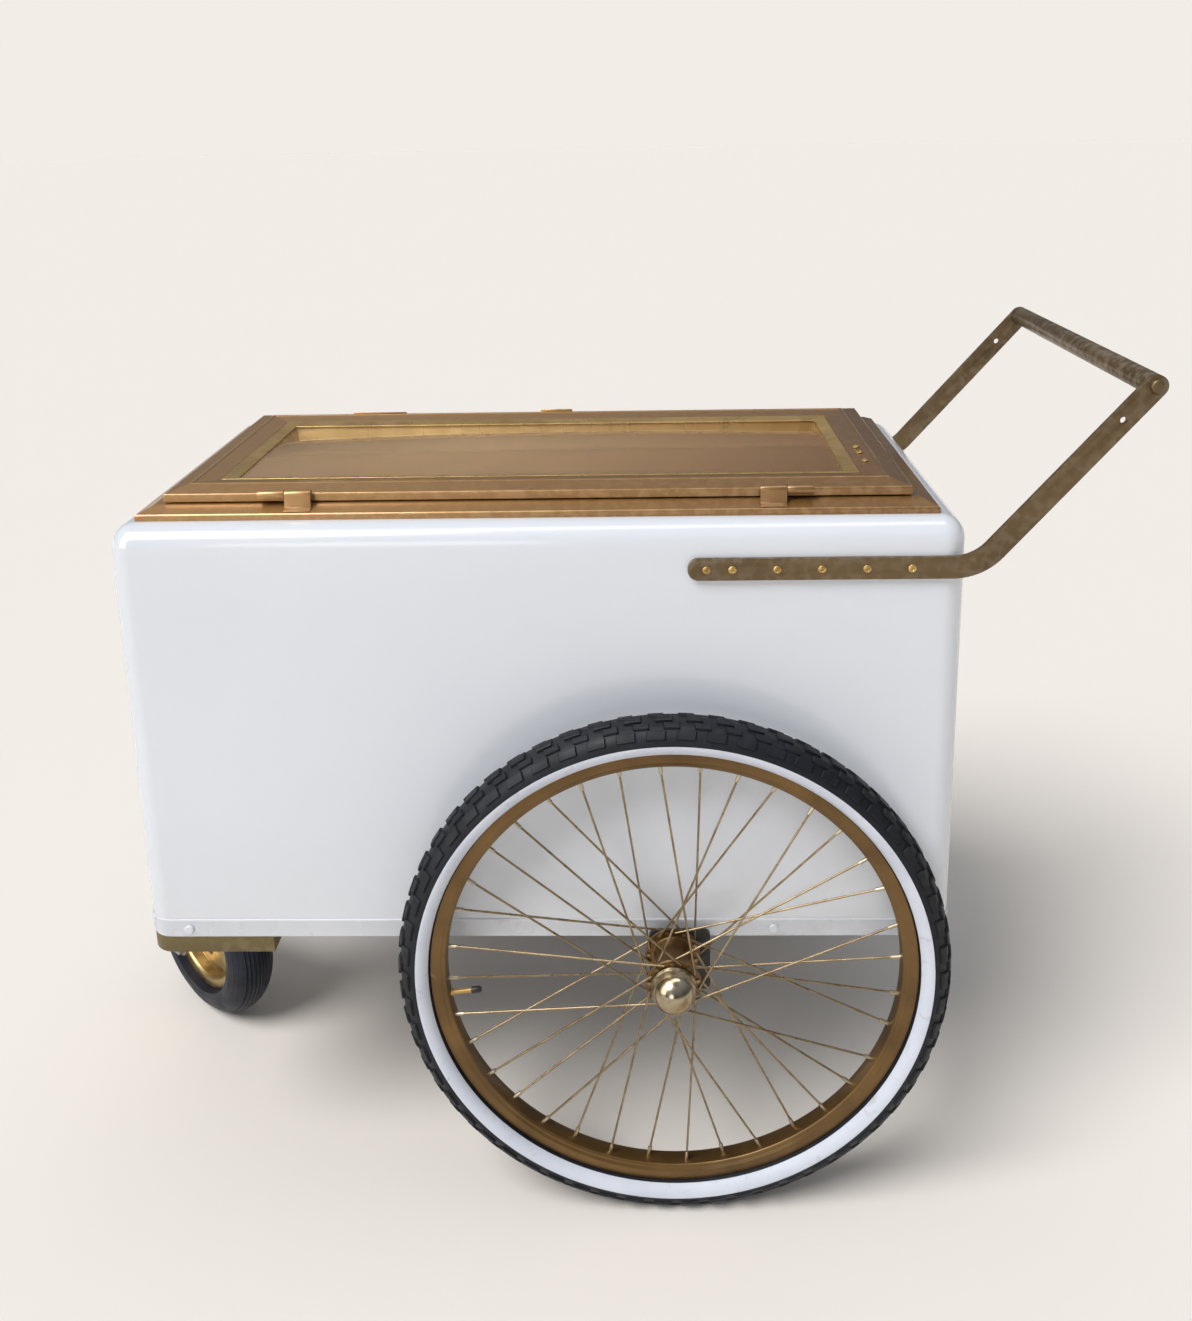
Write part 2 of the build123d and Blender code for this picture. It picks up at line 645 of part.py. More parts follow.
half_hinge = HINGE_LENGTH / 2 - KNUCKLE_GAP / 2
lid_leaves = []
base_leaves = []
hinge_pins = []
for end in (-1, 1):
    hinge_x = BODY_X + end * HINGE_OFFSET
    outer_start = hinge_x + KNUCKLE_GAP / 2 if end > 0 else hinge_x - HINGE_LENGTH / 2
    inner_start = hinge_x - HINGE_LENGTH / 2 if end > 0 else hinge_x + KNUCKLE_GAP / 2
    lid_leaves.append(knuckle(outer_start, half_hinge, lid_leaf))
    base_leaves.append(knuckle(inner_start, half_hinge, base_leaf))
    with BuildPart() as pin:
        with BuildSketch(Plane.YZ.offset(hinge_x - HINGE_LENGTH / 2)):
            with Locations((HINGE_Y, HINGE_Z)):
                Circle(HINGE_PIN_RADIUS)
        extrude(amount=HINGE_LENGTH)
    hinge_pins.append(pin.part)
save_group(lid_leaves, "hinge_lid_leaves")
save_group(base_leaves, "hinge_base_leaves")
save_group(hinge_pins, "hinge_pins")


# ---------------------------------------------------------------- lid furniture
def far_edge_plate(name, centre_x, length, thickness):
    """Bent plate over the lid's far edge: up its side and along its slope."""
    edge_y = LID_FAR_Y
    reach_z = ridge_z(PLATE_REACH)
    points = [
        (edge_y, LID_BOTTOM + PLATE_LIFT),
        (edge_y, LID_EDGE_TOP),
        (edge_y - PLATE_REACH, reach_z),
        (edge_y - PLATE_REACH, reach_z + thickness),
        (edge_y, LID_EDGE_TOP + thickness),
        (edge_y + thickness, LID_EDGE_TOP),
        (edge_y + thickness, LID_BOTTOM + PLATE_LIFT),
    ]
    with BuildPart() as plate:
        with BuildSketch(Plane.YZ.offset(centre_x - length / 2)):
            with BuildLine():
                Polyline(*points, close=True)
            make_face()
        extrude(amount=length)
    save(plate.part, name)


far_edge_plate("lid_pull", BODY_X, PULL_LENGTH, PULL_THICKNESS)
far_edge_plate("lid_stop", BODY_X - STOP_FROM_CENTRE, STOP_LENGTH, STOP_THICKNESS)

lid_screws = [
    domed_fixing(
        seat,
        screw_outwards,
        SCREW_HEAD_RADIUS,
        SCREW_HEAD_HEIGHT,
        SCREW_RADIUS,
        LID_SCREW_LENGTH,
    )
    for seat in lid_screw_seats
]
save_group(lid_screws, "lid_screws")


# ----------------------------------------------------------------------- handle
def handle_bar(name, side):
    """Flat bar screwed along the cabinet's side, bent up to the handle tube."""
    slope = radians(HANDLE_SLOPE)
    hole_x = HANDLE_X - HANDLE_HOLE_BACK * cos(slope)
    hole_z = HANDLE_Z - HANDLE_HOLE_BACK * sin(slope)
    with BuildPart() as bar:
        with BuildSketch(Plane.XZ.offset(-side * SIDE_Y)):
            with BuildLine(mode=Mode.PRIVATE):
                route = FilletPolyline(
                    (BAR_FRONT_X + BAR_WIDTH / 2, BAR_Z),
                    (CORNER_X, BAR_Z),
                    (HANDLE_X, HANDLE_Z),
                    radius=BEND_RADIUS,
                )
            SlotArc(route, BAR_WIDTH)
            with Locations(*[(x, BAR_Z) for x in screw_xs]):
                Circle(SCREW_RADIUS + SCREW_CLEARANCE, mode=Mode.SUBTRACT)
            with Locations((hole_x, hole_z)):
                Circle(HANDLE_HOLE_RADIUS, mode=Mode.SUBTRACT)
            with Locations((HANDLE_X, HANDLE_Z)):
                Circle(BOLT_RADIUS + SCREW_CLEARANCE, mode=Mode.SUBTRACT)
        extrude(amount=-side * BAR_THICKNESS)
    save(bar.part, name)


for side_name, side in SIDES.items():
    handle_bar(f"handle_bar_{side_name}", side)

with BuildPart() as handle_tube:
    with BuildSketch(Plane.XZ.offset(-SIDE_Y)):
        with Locations((HANDLE_X, HANDLE_Z)):
            Circle(TUBE_RADIUS)
    extrude(amount=BODY_WIDTH)
    with BuildSketch(Plane.XZ.offset(-SIDE_Y + TUBE_PLUG)):
        with Locations((HANDLE_X, HANDLE_Z)):
            Circle(TUBE_RADIUS - TUBE_WALL)
    extrude(amount=BODY_WIDTH - 2 * TUBE_PLUG, mode=Mode.SUBTRACT)
    with BuildSketch(Plane.XZ):
        with Locations((HANDLE_X, HANDLE_Z)):
            Circle(BOLT_RADIUS + SCREW_CLEARANCE)
    extrude(amount=BODY_WIDTH, both=True, mode=Mode.SUBTRACT)
save(handle_tube.part, "handle_tube")


handle_bolts = [
    domed_fixing(
        (HANDLE_X, side * BAR_OUTER_Y, HANDLE_Z),
        (0, side, 0),
        HANDLE_BOLT_HEAD,
        HANDLE_BOLT_HEAD_HEIGHT,
        BOLT_RADIUS,
        BAR_THICKNESS + TUBE_PLUG,
    )
    for side in SIDES.values()
]
save_group(handle_bolts, "handle_bolts")

handle_screws = [
    domed_fixing(
        (x, side * BAR_OUTER_Y, BAR_Z),
        (0, side, 0),
        SCREW_HEAD_RADIUS,
        SCREW_HEAD_HEIGHT,
        SCREW_RADIUS,
        BAR_THICKNESS + SHELL_WALL + BACKING_THICKNESS + 2,
    )
    for x in screw_xs
    for side in SIDES.values()
]
save_group(handle_screws, "handle_screws")

# ------------------------------------------------------------------------- axle
hub_end = TRACK / 2 + HUB_HALF_WIDTH
with BuildPart() as axle:
    with BuildSketch(Plane.XZ):
        with Locations((AXLE_X, AXLE_HEIGHT)):
            Circle(AXLE_RADIUS)
    extrude(amount=hub_end + AXLE_END, both=True)
    chamfer(axle.edges().filter_by(GeomType.CIRCLE), 1.0)
save(axle.part, "axle")


def axle_ring(side, start, thickness, flats=0.0, radius=0.0):
    """Washer or hex nut on the axle, its inner face start from the cart's middle."""
    with BuildPart() as ring:
        with BuildSketch(Plane.XZ.offset(-side * start)):
            with Locations((AXLE_X, AXLE_HEIGHT)):
                if flats:
                    RegularPolygon(flats / 2, 6, major_radius=False)
                else:
                    Circle(radius)
                Circle(AXLE_RADIUS + BEARING_CLEARANCE, mode=Mode.SUBTRACT)
        extrude(amount=-side * thickness)
    return ring.part


collar = TRACK / 2 - HUB_HALF_WIDTH - PLATE_OUTER_Y - SIDE_PLAY
washer_start = hub_end + SIDE_PLAY
nut_start = washer_start + WASHER_THICKNESS
axle_rings = []
for side in SIDES.values():
    axle_rings.append(axle_ring(side, PLATE_OUTER_Y, collar, radius=COLLAR_RADIUS))
    axle_rings.append(axle_ring(side, washer_start, WASHER_THICKNESS, radius=WASHER_RADIUS))
    axle_rings.append(axle_ring(side, nut_start, AXLE_NUT_HEIGHT, flats=AXLE_NUT_FLATS))
save_group(axle_rings, "axle_nuts_and_washers")


def axle_bracket(name, side):
    """Hanger plate outside the band with a foot under the pan, holding the axle."""
    plate_length = BRACKET_FRONT + BRACKET_REAR
    plate_x = AXLE_X + (BRACKET_REAR - BRACKET_FRONT) / 2
    plate_low = AXLE_HEIGHT - BRACKET_BELOW
    plate_high = BODY_BOTTOM + BRACKET_LAP
    with BuildPart() as bracket:
        with BuildSketch(Plane.XZ.offset(-side * BAND_Y)):
            with Locations((plate_x, (plate_low + plate_high) / 2)):
                RectangleRounded(plate_length, plate_high - plate_low, BRACKET_CORNER)
        extrude(amount=-side * BRACKET_THICKNESS)
        with BuildSketch(Plane.XY.offset(BODY_BOTTOM - FOOT_THICKNESS)):
            with Locations((plate_x, side * foot_y)):
                Rectangle(plate_length, FOOT_DEPTH)
            with Locations((AXLE_X, side * foot_y)):
                Rectangle(BRACKET_SLOT, FOOT_DEPTH, mode=Mode.SUBTRACT)
            with Locations((foot_front_x, side * foot_y), (foot_rear_x, side * foot_y)):
                Circle(BOLT_RADIUS + BOLT_CLEARANCE, mode=Mode.SUBTRACT)
        extrude(amount=FOOT_THICKNESS)
        with BuildSketch(Plane.XZ):
            with Locations((AXLE_X, AXLE_HEIGHT)):
                Circle(AXLE_RADIUS + BEARING_CLEARANCE)
        extrude(amount=-side * TRACK, mode=Mode.SUBTRACT)
    save(bracket.part, name)


for side_name, side in SIDES.items():
    axle_bracket(f"axle_bracket_{side_name}", side)


def frame_bolt(x, y, seat_z):
    """Hex bolt from below, its head under seat_z, with its nut above the pan."""
    with BuildPart() as bolt:
        with BuildSketch(Plane.XY.offset(seat_z)):
            with Locations((x, y)):
                RegularPolygon(BOLT_HEAD / 2, 6, major_radius=False)
        extrude(amount=-BOLT_HEAD_HEIGHT)
        with BuildSketch(Plane.XY.offset(seat_z)):
            with Locations((x, y)):
                Circle(BOLT_RADIUS)
        extrude(amount=SHELL_BOTTOM + BOLT_NUT_HEIGHT + BOLT_TAIL - seat_z)
        with BuildSketch(Plane.XY.offset(SHELL_BOTTOM)):
            with Locations((x, y)):
                RegularPolygon(BOLT_HEAD / 2, 6, major_radius=False)
        extrude(amount=BOLT_NUT_HEIGHT)
    return bolt.part


bracket_bolts = [frame_bolt(x, y, BODY_BOTTOM - FOOT_THICKNESS) for x, y in foot_bolts]
plate_bolts = [frame_bolt(x, y, PLATE_BOTTOM) for x, y in caster_bolts]
save_group(bracket_bolts + plate_bolts, "frame_bolts")


# ------------------------------------------------------------------ road wheels
def wheel_section(side):
    """Half-section plane of a wheel: x outwards from its middle plane, y is radius."""
    hub_middle = (AXLE_X, side * TRACK / 2, AXLE_HEIGHT)
    return Plane(origin=hub_middle, x_dir=(0, side, 0), z_dir=(side, 0, 0))


def turned(side, points):
    """Solid of revolution about the axle from (across, radius) points."""
    with BuildPart() as ring:
        with BuildSketch(wheel_section(side)):
            with BuildLine():
                Polyline(*points, close=True)
            make_face()
        revolve(axis=AXLE_LINE)
    return ring.part


def wheel_point(side, across, radius, angle):
    """Point on a wheel; the angle runs from +X towards +Z."""
    a = radians(angle)
    y = side * (TRACK / 2 + across)
    return Vector(AXLE_X + radius * cos(a), y, AXLE_HEIGHT + radius * sin(a))


def spoke(side, flange, outer, phase):
    """One spoke: head and elbow through the flange, straight wire, rim nipple."""
    offset = FLANGE_THICKNESS / 2 + SPOKE_RADIUS + SPOKE_FLANGE_GAP
    head_offset = FLANGE_THICKNESS / 2 + SPOKE_HEAD_THICKNESS + SPOKE_RADIUS - SPOKE_FLANGE_GAP
    lean = 1 if outer else -1
    wire_side = flange * (FLANGE_PLACE + lean * offset)
    head_side = flange * (FLANGE_PLACE - lean * head_offset)
    hub_angle = phase
    rim_angle = phase + lean * SPOKE_CROSS_ANGLE
    start = wheel_point(side, wire_side, SPOKE_CIRCLE, hub_angle)
    head = wheel_point(side, head_side, SPOKE_CIRCLE, hub_angle)
    finish = wheel_point(side, flange * SPOKE_STAGGER, rim_bottom + SPOKE_SEAT, rim_angle)
    run = finish - start
    with BuildPart() as wire:
        with BuildSketch(Plane(origin=start, z_dir=run)):
            Circle(SPOKE_RADIUS)
        extrude(amount=run.length)
        with BuildSketch(Plane(origin=finish, z_dir=start - finish)):
            Circle(NIPPLE_RADIUS)
        extrude(amount=NIPPLE_LENGTH)
        with BuildSketch(Plane(origin=start, z_dir=head - start)):
            Circle(SPOKE_RADIUS)
        extrude(amount=(head - start).length)
        with BuildSketch(Plane(origin=head, z_dir=start - head)):
            Circle(SPOKE_HEAD_RADIUS)
        extrude(amount=SPOKE_HEAD_THICKNESS)
    return wire.part


def spokes(side, phase):
    """All spokes of a wheel: each flange has leading and trailing ones in turn."""
    pitch = 360.0 / SPOKES_PER_FLANGE
    copies = []
    for flange in (-1, 1):
        flange_phase = phase + (pitch / 2 if flange > 0 else 0)
        for outer in (False, True):
            pattern = spoke(side, flange, outer, flange_phase + (pitch if outer else 0))
            for step in range(SPOKES_PER_FLANGE // 2):
                copies.append(pattern.rotate(AXLE_LINE, 2 * pitch * step))
    return copies


rim_bottom = RIM_RADIUS - RIM_DEPTH
rim_floor = rim_bottom + RIM_FLOOR
rim_inside = RIM_HALF_WIDTH - RIM_WALL
bevel_top = rim_bottom + 2 * RIM_BEVEL
bevel_inside = rim_floor + RIM_BEVEL - 1
rim_points = [
    (-RIM_HALF_WIDTH, RIM_RADIUS),
    (-RIM_HALF_WIDTH, bevel_top),
    (-RIM_HALF_WIDTH + RIM_BEVEL, rim_bottom),
    (RIM_HALF_WIDTH - RIM_BEVEL, rim_bottom),
    (RIM_HALF_WIDTH, bevel_top),
    (RIM_HALF_WIDTH, RIM_RADIUS),
    (rim_inside, RIM_RADIUS),
    (rim_inside, bevel_inside),
    (rim_inside - RIM_BEVEL + 1, rim_floor),
    (-rim_inside + RIM_BEVEL - 1, rim_floor),
    (-rim_inside, bevel_inside),
    (-rim_inside, RIM_RADIUS),
]
flange_in = FLANGE_PLACE - FLANGE_THICKNESS / 2
flange_out = FLANGE_PLACE + FLANGE_THICKNESS / 2
hub_seat = HUB_HALF_WIDTH - BEARING_WIDTH - BEARING_RECESS - SEAT_PLAY
cap_seat = CAP_RADIUS - CAP_WALL - CAP_GAP / 2
hub_points = [
    (-HUB_HALF_WIDTH, BEARING_RADIUS),
    (-HUB_HALF_WIDTH, BEARING_RADIUS + BEARING_SHOULDER),
    (-flange_out, BEARING_RADIUS + BEARING_SHOULDER),
    (-flange_out, FLANGE_RADIUS),
    (-flange_in, FLANGE_RADIUS),
    (-flange_in, BARREL_RADIUS),
    (flange_in, BARREL_RADIUS),
    (flange_in, FLANGE_RADIUS),
    (flange_out, FLANGE_RADIUS),
    (flange_out, cap_seat),
    (HUB_HALF_WIDTH, cap_seat),
    (HUB_HALF_WIDTH, BEARING_RADIUS),
    (hub_seat, BEARING_RADIUS),
    (hub_seat, BEARING_RADIUS - BEARING_SHOULDER),
    (-hub_seat, BEARING_RADIUS - BEARING_SHOULDER),
    (-hub_seat, BEARING_RADIUS),
]


def hub_bearing(side, end):
    """Sealed bearing, a running fit on the axle."""
    inner = end * (hub_seat + SEAT_PLAY)
    outer = inner + end * BEARING_WIDTH
    bore = AXLE_RADIUS + BEARING_CLEARANCE
    rim_fit = BEARING_RADIUS - BEARING_FIT
    return turned(side, [(inner, bore), (outer, bore), (outer, rim_fit), (inner, rim_fit)])


def dust_cap(side):
    """Domed cap over the axle nut, with two turned grooves in its skirt."""
    dome = HUB_HALF_WIDTH + CAP_GAP
    skirt = dome - CAP_SKIRT + CAP_GAP
    inner = CAP_RADIUS - CAP_WALL
    seat = cap_seat + SEAT_PLAY
    half_turn = radians(45)
    with BuildPart() as cap:
        with BuildSketch(wheel_section(side)):
            with BuildLine():
                Polyline((skirt, seat), (skirt, CAP_RADIUS), (dome, CAP_RADIUS))
                ThreePointArc(
                    (dome, CAP_RADIUS),
                    (dome + CAP_RADIUS * sin(half_turn), CAP_RADIUS * cos(half_turn)),
                    (dome + CAP_RADIUS, 0),
                )
                Line((dome + CAP_RADIUS, 0), (dome + inner, 0))
                ThreePointArc(
                    (dome + inner, 0),
                    (dome + inner * sin(half_turn), inner * cos(half_turn)),
                    (dome, inner),
                )
                Polyline((dome, inner), (dome, seat), (skirt, seat))
            make_face()
            for place in CAP_GROOVE_PLACES:
                with Locations((skirt + place, CAP_RADIUS)):
                    Rectangle(CAP_GROOVE, 2 * CAP_GROOVE, mode=Mode.SUBTRACT)
        revolve(axis=AXLE_LINE)
    return cap.part


def tyre(side):
    """Open tyre casing: two sidewalls, a rounded tread and beads inside the rim."""
    low = rim_floor + 4.5
    seat = RIM_RADIUS + 0.4
    wide = WHEEL_RADIUS - TYRE_RISE / 2 - 1.7
    crown = WHEEL_RADIUS
    bead = rim_inside - 0.3
    half = TYRE_HALF_WIDTH
    outer = [(bead, seat), (half * 0.89, seat + 6.1), (half, wide), (half * 0.67, crown - 5.6), (0, crown)]
    inner_half = half - CASING
    inner_seat = seat + 1.2
    inner = [
        (bead - CASING, inner_seat),
        (inner_half * 0.87, seat + 8.2),
        (inner_half, wide),
        (inner_half * 0.67, crown - CASING - 4.6),
        (0, crown - CASING),
    ]
    with BuildPart() as casing:
        with BuildSketch(wheel_section(side)):
            with BuildLine():
                Line((bead, low), outer[0])
                ThreePointArc(outer[0], outer[1], outer[2])
                ThreePointArc(outer[2], outer[3], outer[4])
                Line(outer[4], inner[4])
                ThreePointArc(inner[4], inner[3], inner[2])
                ThreePointArc(inner[2], inner[1], inner[0])
                Polyline(inner[0], (bead - CASING, low), (bead, low))
            make_face()
            mirror(about=Plane.YZ)
        revolve(axis=AXLE_LINE)
    return casing.part


def inner_tube(side):
    """Inflated tube inside the casing."""
    low = RIM_RADIUS + 2.0
    high = WHEEL_RADIUS - CASING - 2.0
    with BuildPart() as tube:
        with BuildSketch(wheel_section(side)):
            with Locations((0, (low + high) / 2)):
                Ellipse(TYRE_HALF_WIDTH - CASING - 4.0, (high - low) / 2)
        revolve(axis=AXLE_LINE)
    return tube.part


def valve(side, angle):
    """Valve stem through the rim, and its cap, as two solids."""
    root_radius = RIM_RADIUS + 1.5
    tip_radius = rim_bottom - VALVE_LENGTH
    root = wheel_point(side, 0, root_radius, angle)
    tip = wheel_point(side, 0, tip_radius, angle)
    with BuildPart() as stem:
        with BuildSketch(Plane(origin=root, z_dir=tip - root)):
            Circle(VALVE_RADIUS)
        extrude(amount=root_radius - tip_radius)
    with BuildPart() as cap:
        with BuildSketch(Plane(origin=tip, z_dir=tip - root)):
            Circle(VALVE_CAP_RADIUS)
        extrude(amount=VALVE_CAP_LENGTH)
        chamfer(cap.edges().filter_by(GeomType.CIRCLE), 0.8)
    return [stem.part, cap.part]


def rim(side, angle):
    """Box-section rim with its valve hole."""
    with BuildPart() as hoop:
        with BuildSketch(wheel_section(side)):
            with BuildLine():
                Polyline(*rim_points, close=True)
            make_face()
        revolve(axis=AXLE_LINE)
        start = wheel_point(side, 0, rim_bottom - 5, angle)
        outwards = wheel_point(side, 0, RIM_RADIUS, angle) - start
        with BuildSketch(Plane(origin=start, z_dir=outwards)):
            Circle(VALVE_RADIUS + 0.2)
        extrude(amount=RIM_DEPTH, mode=Mode.SUBTRACT)
    return hoop.part


for side_name, side in SIDES.items():
    valve_angle = VALVE_ANGLES[side_name]
    save(turned(side, hub_points), f"hub_{side_name}")
    save_group([hub_bearing(side, end) for end in (-1, 1)], f"hub_bearings_{side_name}")
    save(dust_cap(side), f"dust_cap_{side_name}")
    save_group(spokes(side, SPOKE_PHASES[side_name]), f"spokes_{side_name}")
    save(rim(side, valve_angle), f"rim_{side_name}")
    save(tyre(side), f"tyre_{side_name}")
    save(inner_tube(side), f"inner_tube_{side_name}")
    save_group(valve(side, valve_angle), f"valve_{side_name}")

# ----------------------------------------------------------------- caster board
with BuildPart() as caster_board:
    with BuildSketch(Plane.XY.offset(BOARD_BOTTOM)):
        with Locations((BODY_X, 0)):
            RectangleRounded(BODY_LENGTH, BODY_WIDTH, BODY_CORNER)
        with Locations((FRONT_X + BOARD_LENGTH + BODY_LENGTH, 0)):
            Rectangle(2 * BODY_LENGTH, 2 * BODY_WIDTH, mode=Mode.SUBTRACT)
    extrude(amount=BOARD_THICKNESS)
    with BuildSketch(Plane.XY.offset(BOARD_BOTTOM)):
        with Locations((PIVOT_X, 0)):
            Circle(KINGPIN_HEAD + PIN_POCKET)
    extrude(amount=KINGPIN_HEAD_HEIGHT + PIN_POCKET, mode=Mode.SUBTRACT)
    with BuildSketch(Plane.XY.offset(BOARD_BOTTOM)):
        with Locations(*caster_bolts):
            Circle(BOLT_RADIUS + BOLT_CLEARANCE)
    extrude(amount=BOARD_THICKNESS, mode=Mode.SUBTRACT)
save(caster_board.part, "caster_board")

# ----------------------------------------------------------------------- caster
WHEEL_CENTRE = CASTER_AXES.from_local_coords(Vector(CASTER_TRAIL, 0, CASTER_RADIUS))
CASTER_ACROSS = CASTER_AXES.y_dir
CASTER_SECTION = Plane(origin=WHEEL_CENTRE, x_dir=CASTER_ACROSS, z_dir=CASTER_AXES.x_dir)
CASTER_SIDE = Plane(origin=WHEEL_CENTRE, x_dir=CASTER_AXES.x_dir, z_dir=-CASTER_ACROSS)
CASTER_LINE = Axis(WHEEL_CENTRE, CASTER_ACROSS)

with BuildPart() as caster_plate:
    with BuildSketch(Plane.XY.offset(PLATE_BOTTOM)):
        with Locations((PIVOT_X, 0)):
            RectangleRounded(CASTER_PLATE_LENGTH, CASTER_PLATE_WIDTH, 8)
            Circle(KINGPIN_RADIUS + PIN_CLEARANCE, mode=Mode.SUBTRACT)
        with Locations(*caster_bolts):
            Circle(BOLT_RADIUS + BOLT_CLEARANCE, mode=Mode.SUBTRACT)
    extrude(amount=CASTER_PLATE)
    with BuildSketch(Plane.XY.offset(PLATE_BOTTOM)):
        with Locations((PIVOT_X, 0)):
            Circle(RACE_OUTER)
            Circle(RACE_INNER, mode=Mode.SUBTRACT)
    extrude(amount=-(RACE_HEIGHT - RACE_GAP / 2))
save(caster_plate.part, "caster_plate")

leg_top = CROWN_TOP - CASTER_RADIUS
leg_shoulder = leg_top - FORK_THICKNESS
front_edge = -CASTER_TRAIL - RACE_OUTER + FORK_EDGE
rear_edge = -CASTER_TRAIL + RACE_OUTER + FORK_EDGE
with BuildPart() as caster_fork:
    with BuildSketch(CASTER_AXES.offset(CROWN_BOTTOM)):
        with Locations((FORK_EDGE, 0)):
            RectangleRounded(2 * (RACE_OUTER + FORK_EDGE), 2 * LEG_OUTER, FORK_CORNER)
        Circle(KINGPIN_RADIUS, mode=Mode.SUBTRACT)
    extrude(amount=FORK_THICKNESS)
    with BuildSketch(CASTER_AXES.offset(CROWN_TOP)):
        Circle(RACE_OUTER)
        Circle(RACE_INNER, mode=Mode.SUBTRACT)
    extrude(amount=RACE_HEIGHT - RACE_GAP / 2)
    for across in (-1, 1):
        leg_start = across * LEG_INNER if across > 0 else across * LEG_OUTER
        with BuildSketch(CASTER_SIDE.offset(leg_start)):
            with BuildLine():
                CenterArc((0, 0), FORK_EYE, 180, 180)
                Polyline(
                    (-FORK_EYE, 0),
                    (front_edge, leg_shoulder - 2 * FORK_THICKNESS),
                    (front_edge, leg_top),
                    (rear_edge, leg_top),
                    (rear_edge, leg_shoulder),
                    (FORK_EYE, 0),
                )
            make_face()
            Circle(CASTER_AXLE_RADIUS + PIN_CLEARANCE, mode=Mode.SUBTRACT)
        extrude(amount=FORK_THICKNESS)
save(caster_fork.part, "caster_fork")

with BuildPart() as caster_kingpin:
    with BuildSketch(Plane.XY.offset(CROWN_BOTTOM)):
        with Locations((PIVOT_X, 0)):
            Circle(KINGPIN_RADIUS)
    extrude(amount=BOARD_BOTTOM + RACE_GAP - CROWN_BOTTOM)
    with BuildSketch(Plane.XY.offset(CROWN_BOTTOM)):
        with Locations((PIVOT_X, 0)):
            Circle(KINGPIN_HEAD)
    extrude(amount=-KINGPIN_HEAD_HEIGHT)
    with BuildSketch(Plane.XY.offset(BOARD_BOTTOM + RACE_GAP)):
        with Locations((PIVOT_X, 0)):
            Circle(KINGPIN_HEAD)
    extrude(amount=KINGPIN_HEAD_HEIGHT)
save(caster_kingpin.part, "caster_kingpin")


def caster_turned(points):
    """Solid of revolution about the caster's axle from (across, radius) points."""
    with BuildPart() as ring:
        with BuildSketch(CASTER_SECTION):
            with BuildLine():
                Polyline(*points, close=True)
            make_face()
        revolve(axis=CASTER_LINE)
    return ring.part


sleeve_start = CASTER_RIM_HALF_WIDTH + SLEEVE_GAP
with BuildPart() as caster_axle_bolt:
    with BuildSketch(CASTER_SIDE.offset(-LEG_OUTER)):
        Circle(CASTER_AXLE_RADIUS)
    extrude(amount=2 * LEG_OUTER + CASTER_NUT_HEIGHT + CASTER_BOLT_END)
    with BuildSketch(CASTER_SIDE.offset(-LEG_OUTER)):
        RegularPolygon(CASTER_NUT_FLATS / 2, 6, major_radius=False)
    extrude(amount=-CASTER_BOLT_HEAD_HEIGHT)
    with BuildSketch(CASTER_SIDE.offset(LEG_OUTER)):
        RegularPolygon(CASTER_NUT_FLATS / 2, 6, major_radius=False)
    extrude(amount=CASTER_NUT_HEIGHT)

sleeve_bore = CASTER_AXLE_RADIUS + BEARING_FIT
caster_sleeves = [
    caster_turned(
        [
            (end * sleeve_start, sleeve_bore),
            (end * LEG_INNER, sleeve_bore),
            (end * LEG_INNER, sleeve_bore + SLEEVE_WALL),
            (end * sleeve_start, sleeve_bore + SLEEVE_WALL),
        ]
    )
    for end in (-1, 1)
]
save_group([caster_axle_bolt.part] + caster_sleeves, "caster_axle")

caster_seat = CASTER_RIM_HALF_WIDTH - CASTER_BEARING_WIDTH
caster_shoulder = CASTER_BEARING_RADIUS - BEARING_SHOULDER
well = CASTER_RIM_RADIUS - RIM_WELL_DEPTH
disc_edge = well - RIM_DISC
bend = CASTER_RIM_HALF_WIDTH - RIM_DISC
caster_rim_points = [
    (-CASTER_RIM_HALF_WIDTH, CASTER_BEARING_RADIUS),
    (-CASTER_RIM_HALF_WIDTH, CASTER_HUB_RADIUS),
    (-RIM_DISC, CASTER_HUB_RADIUS),
    (-RIM_DISC, disc_edge),
    (-bend, disc_edge),
    (-CASTER_RIM_HALF_WIDTH, well),
    (-CASTER_RIM_HALF_WIDTH - RIM_FLARE, CASTER_RIM_RADIUS),
    (-bend - RIM_FLARE, CASTER_RIM_RADIUS),
    (-bend, well + RIM_DISC),
    (bend, well + RIM_DISC),
    (bend + RIM_FLARE, CASTER_RIM_RADIUS),
    (CASTER_RIM_HALF_WIDTH + RIM_FLARE, CASTER_RIM_RADIUS),
    (CASTER_RIM_HALF_WIDTH, well),
    (bend, disc_edge),
    (RIM_DISC, disc_edge),
    (RIM_DISC, CASTER_HUB_RADIUS),
    (CASTER_RIM_HALF_WIDTH, CASTER_HUB_RADIUS),
    (CASTER_RIM_HALF_WIDTH, CASTER_BEARING_RADIUS),
    (caster_seat, CASTER_BEARING_RADIUS),
    (caster_seat, caster_shoulder),
    (-caster_seat, caster_shoulder),
    (-caster_seat, CASTER_BEARING_RADIUS),
]
rim_bolt_circle = (CASTER_HUB_RADIUS + well) / 2
with BuildPart() as caster_rim:
    with BuildSketch(CASTER_SECTION):
        with BuildLine():
            Polyline(*caster_rim_points, close=True)
        make_face()
    revolve(axis=CASTER_LINE)
    with BuildSketch(CASTER_SIDE):
        with PolarLocations(rim_bolt_circle, RIM_HOLES):
            Circle(RIM_HOLE_RADIUS)
    extrude(amount=CASTER_HALF_WIDTH, both=True, mode=Mode.SUBTRACT)
save(caster_rim.part, "caster_rim")

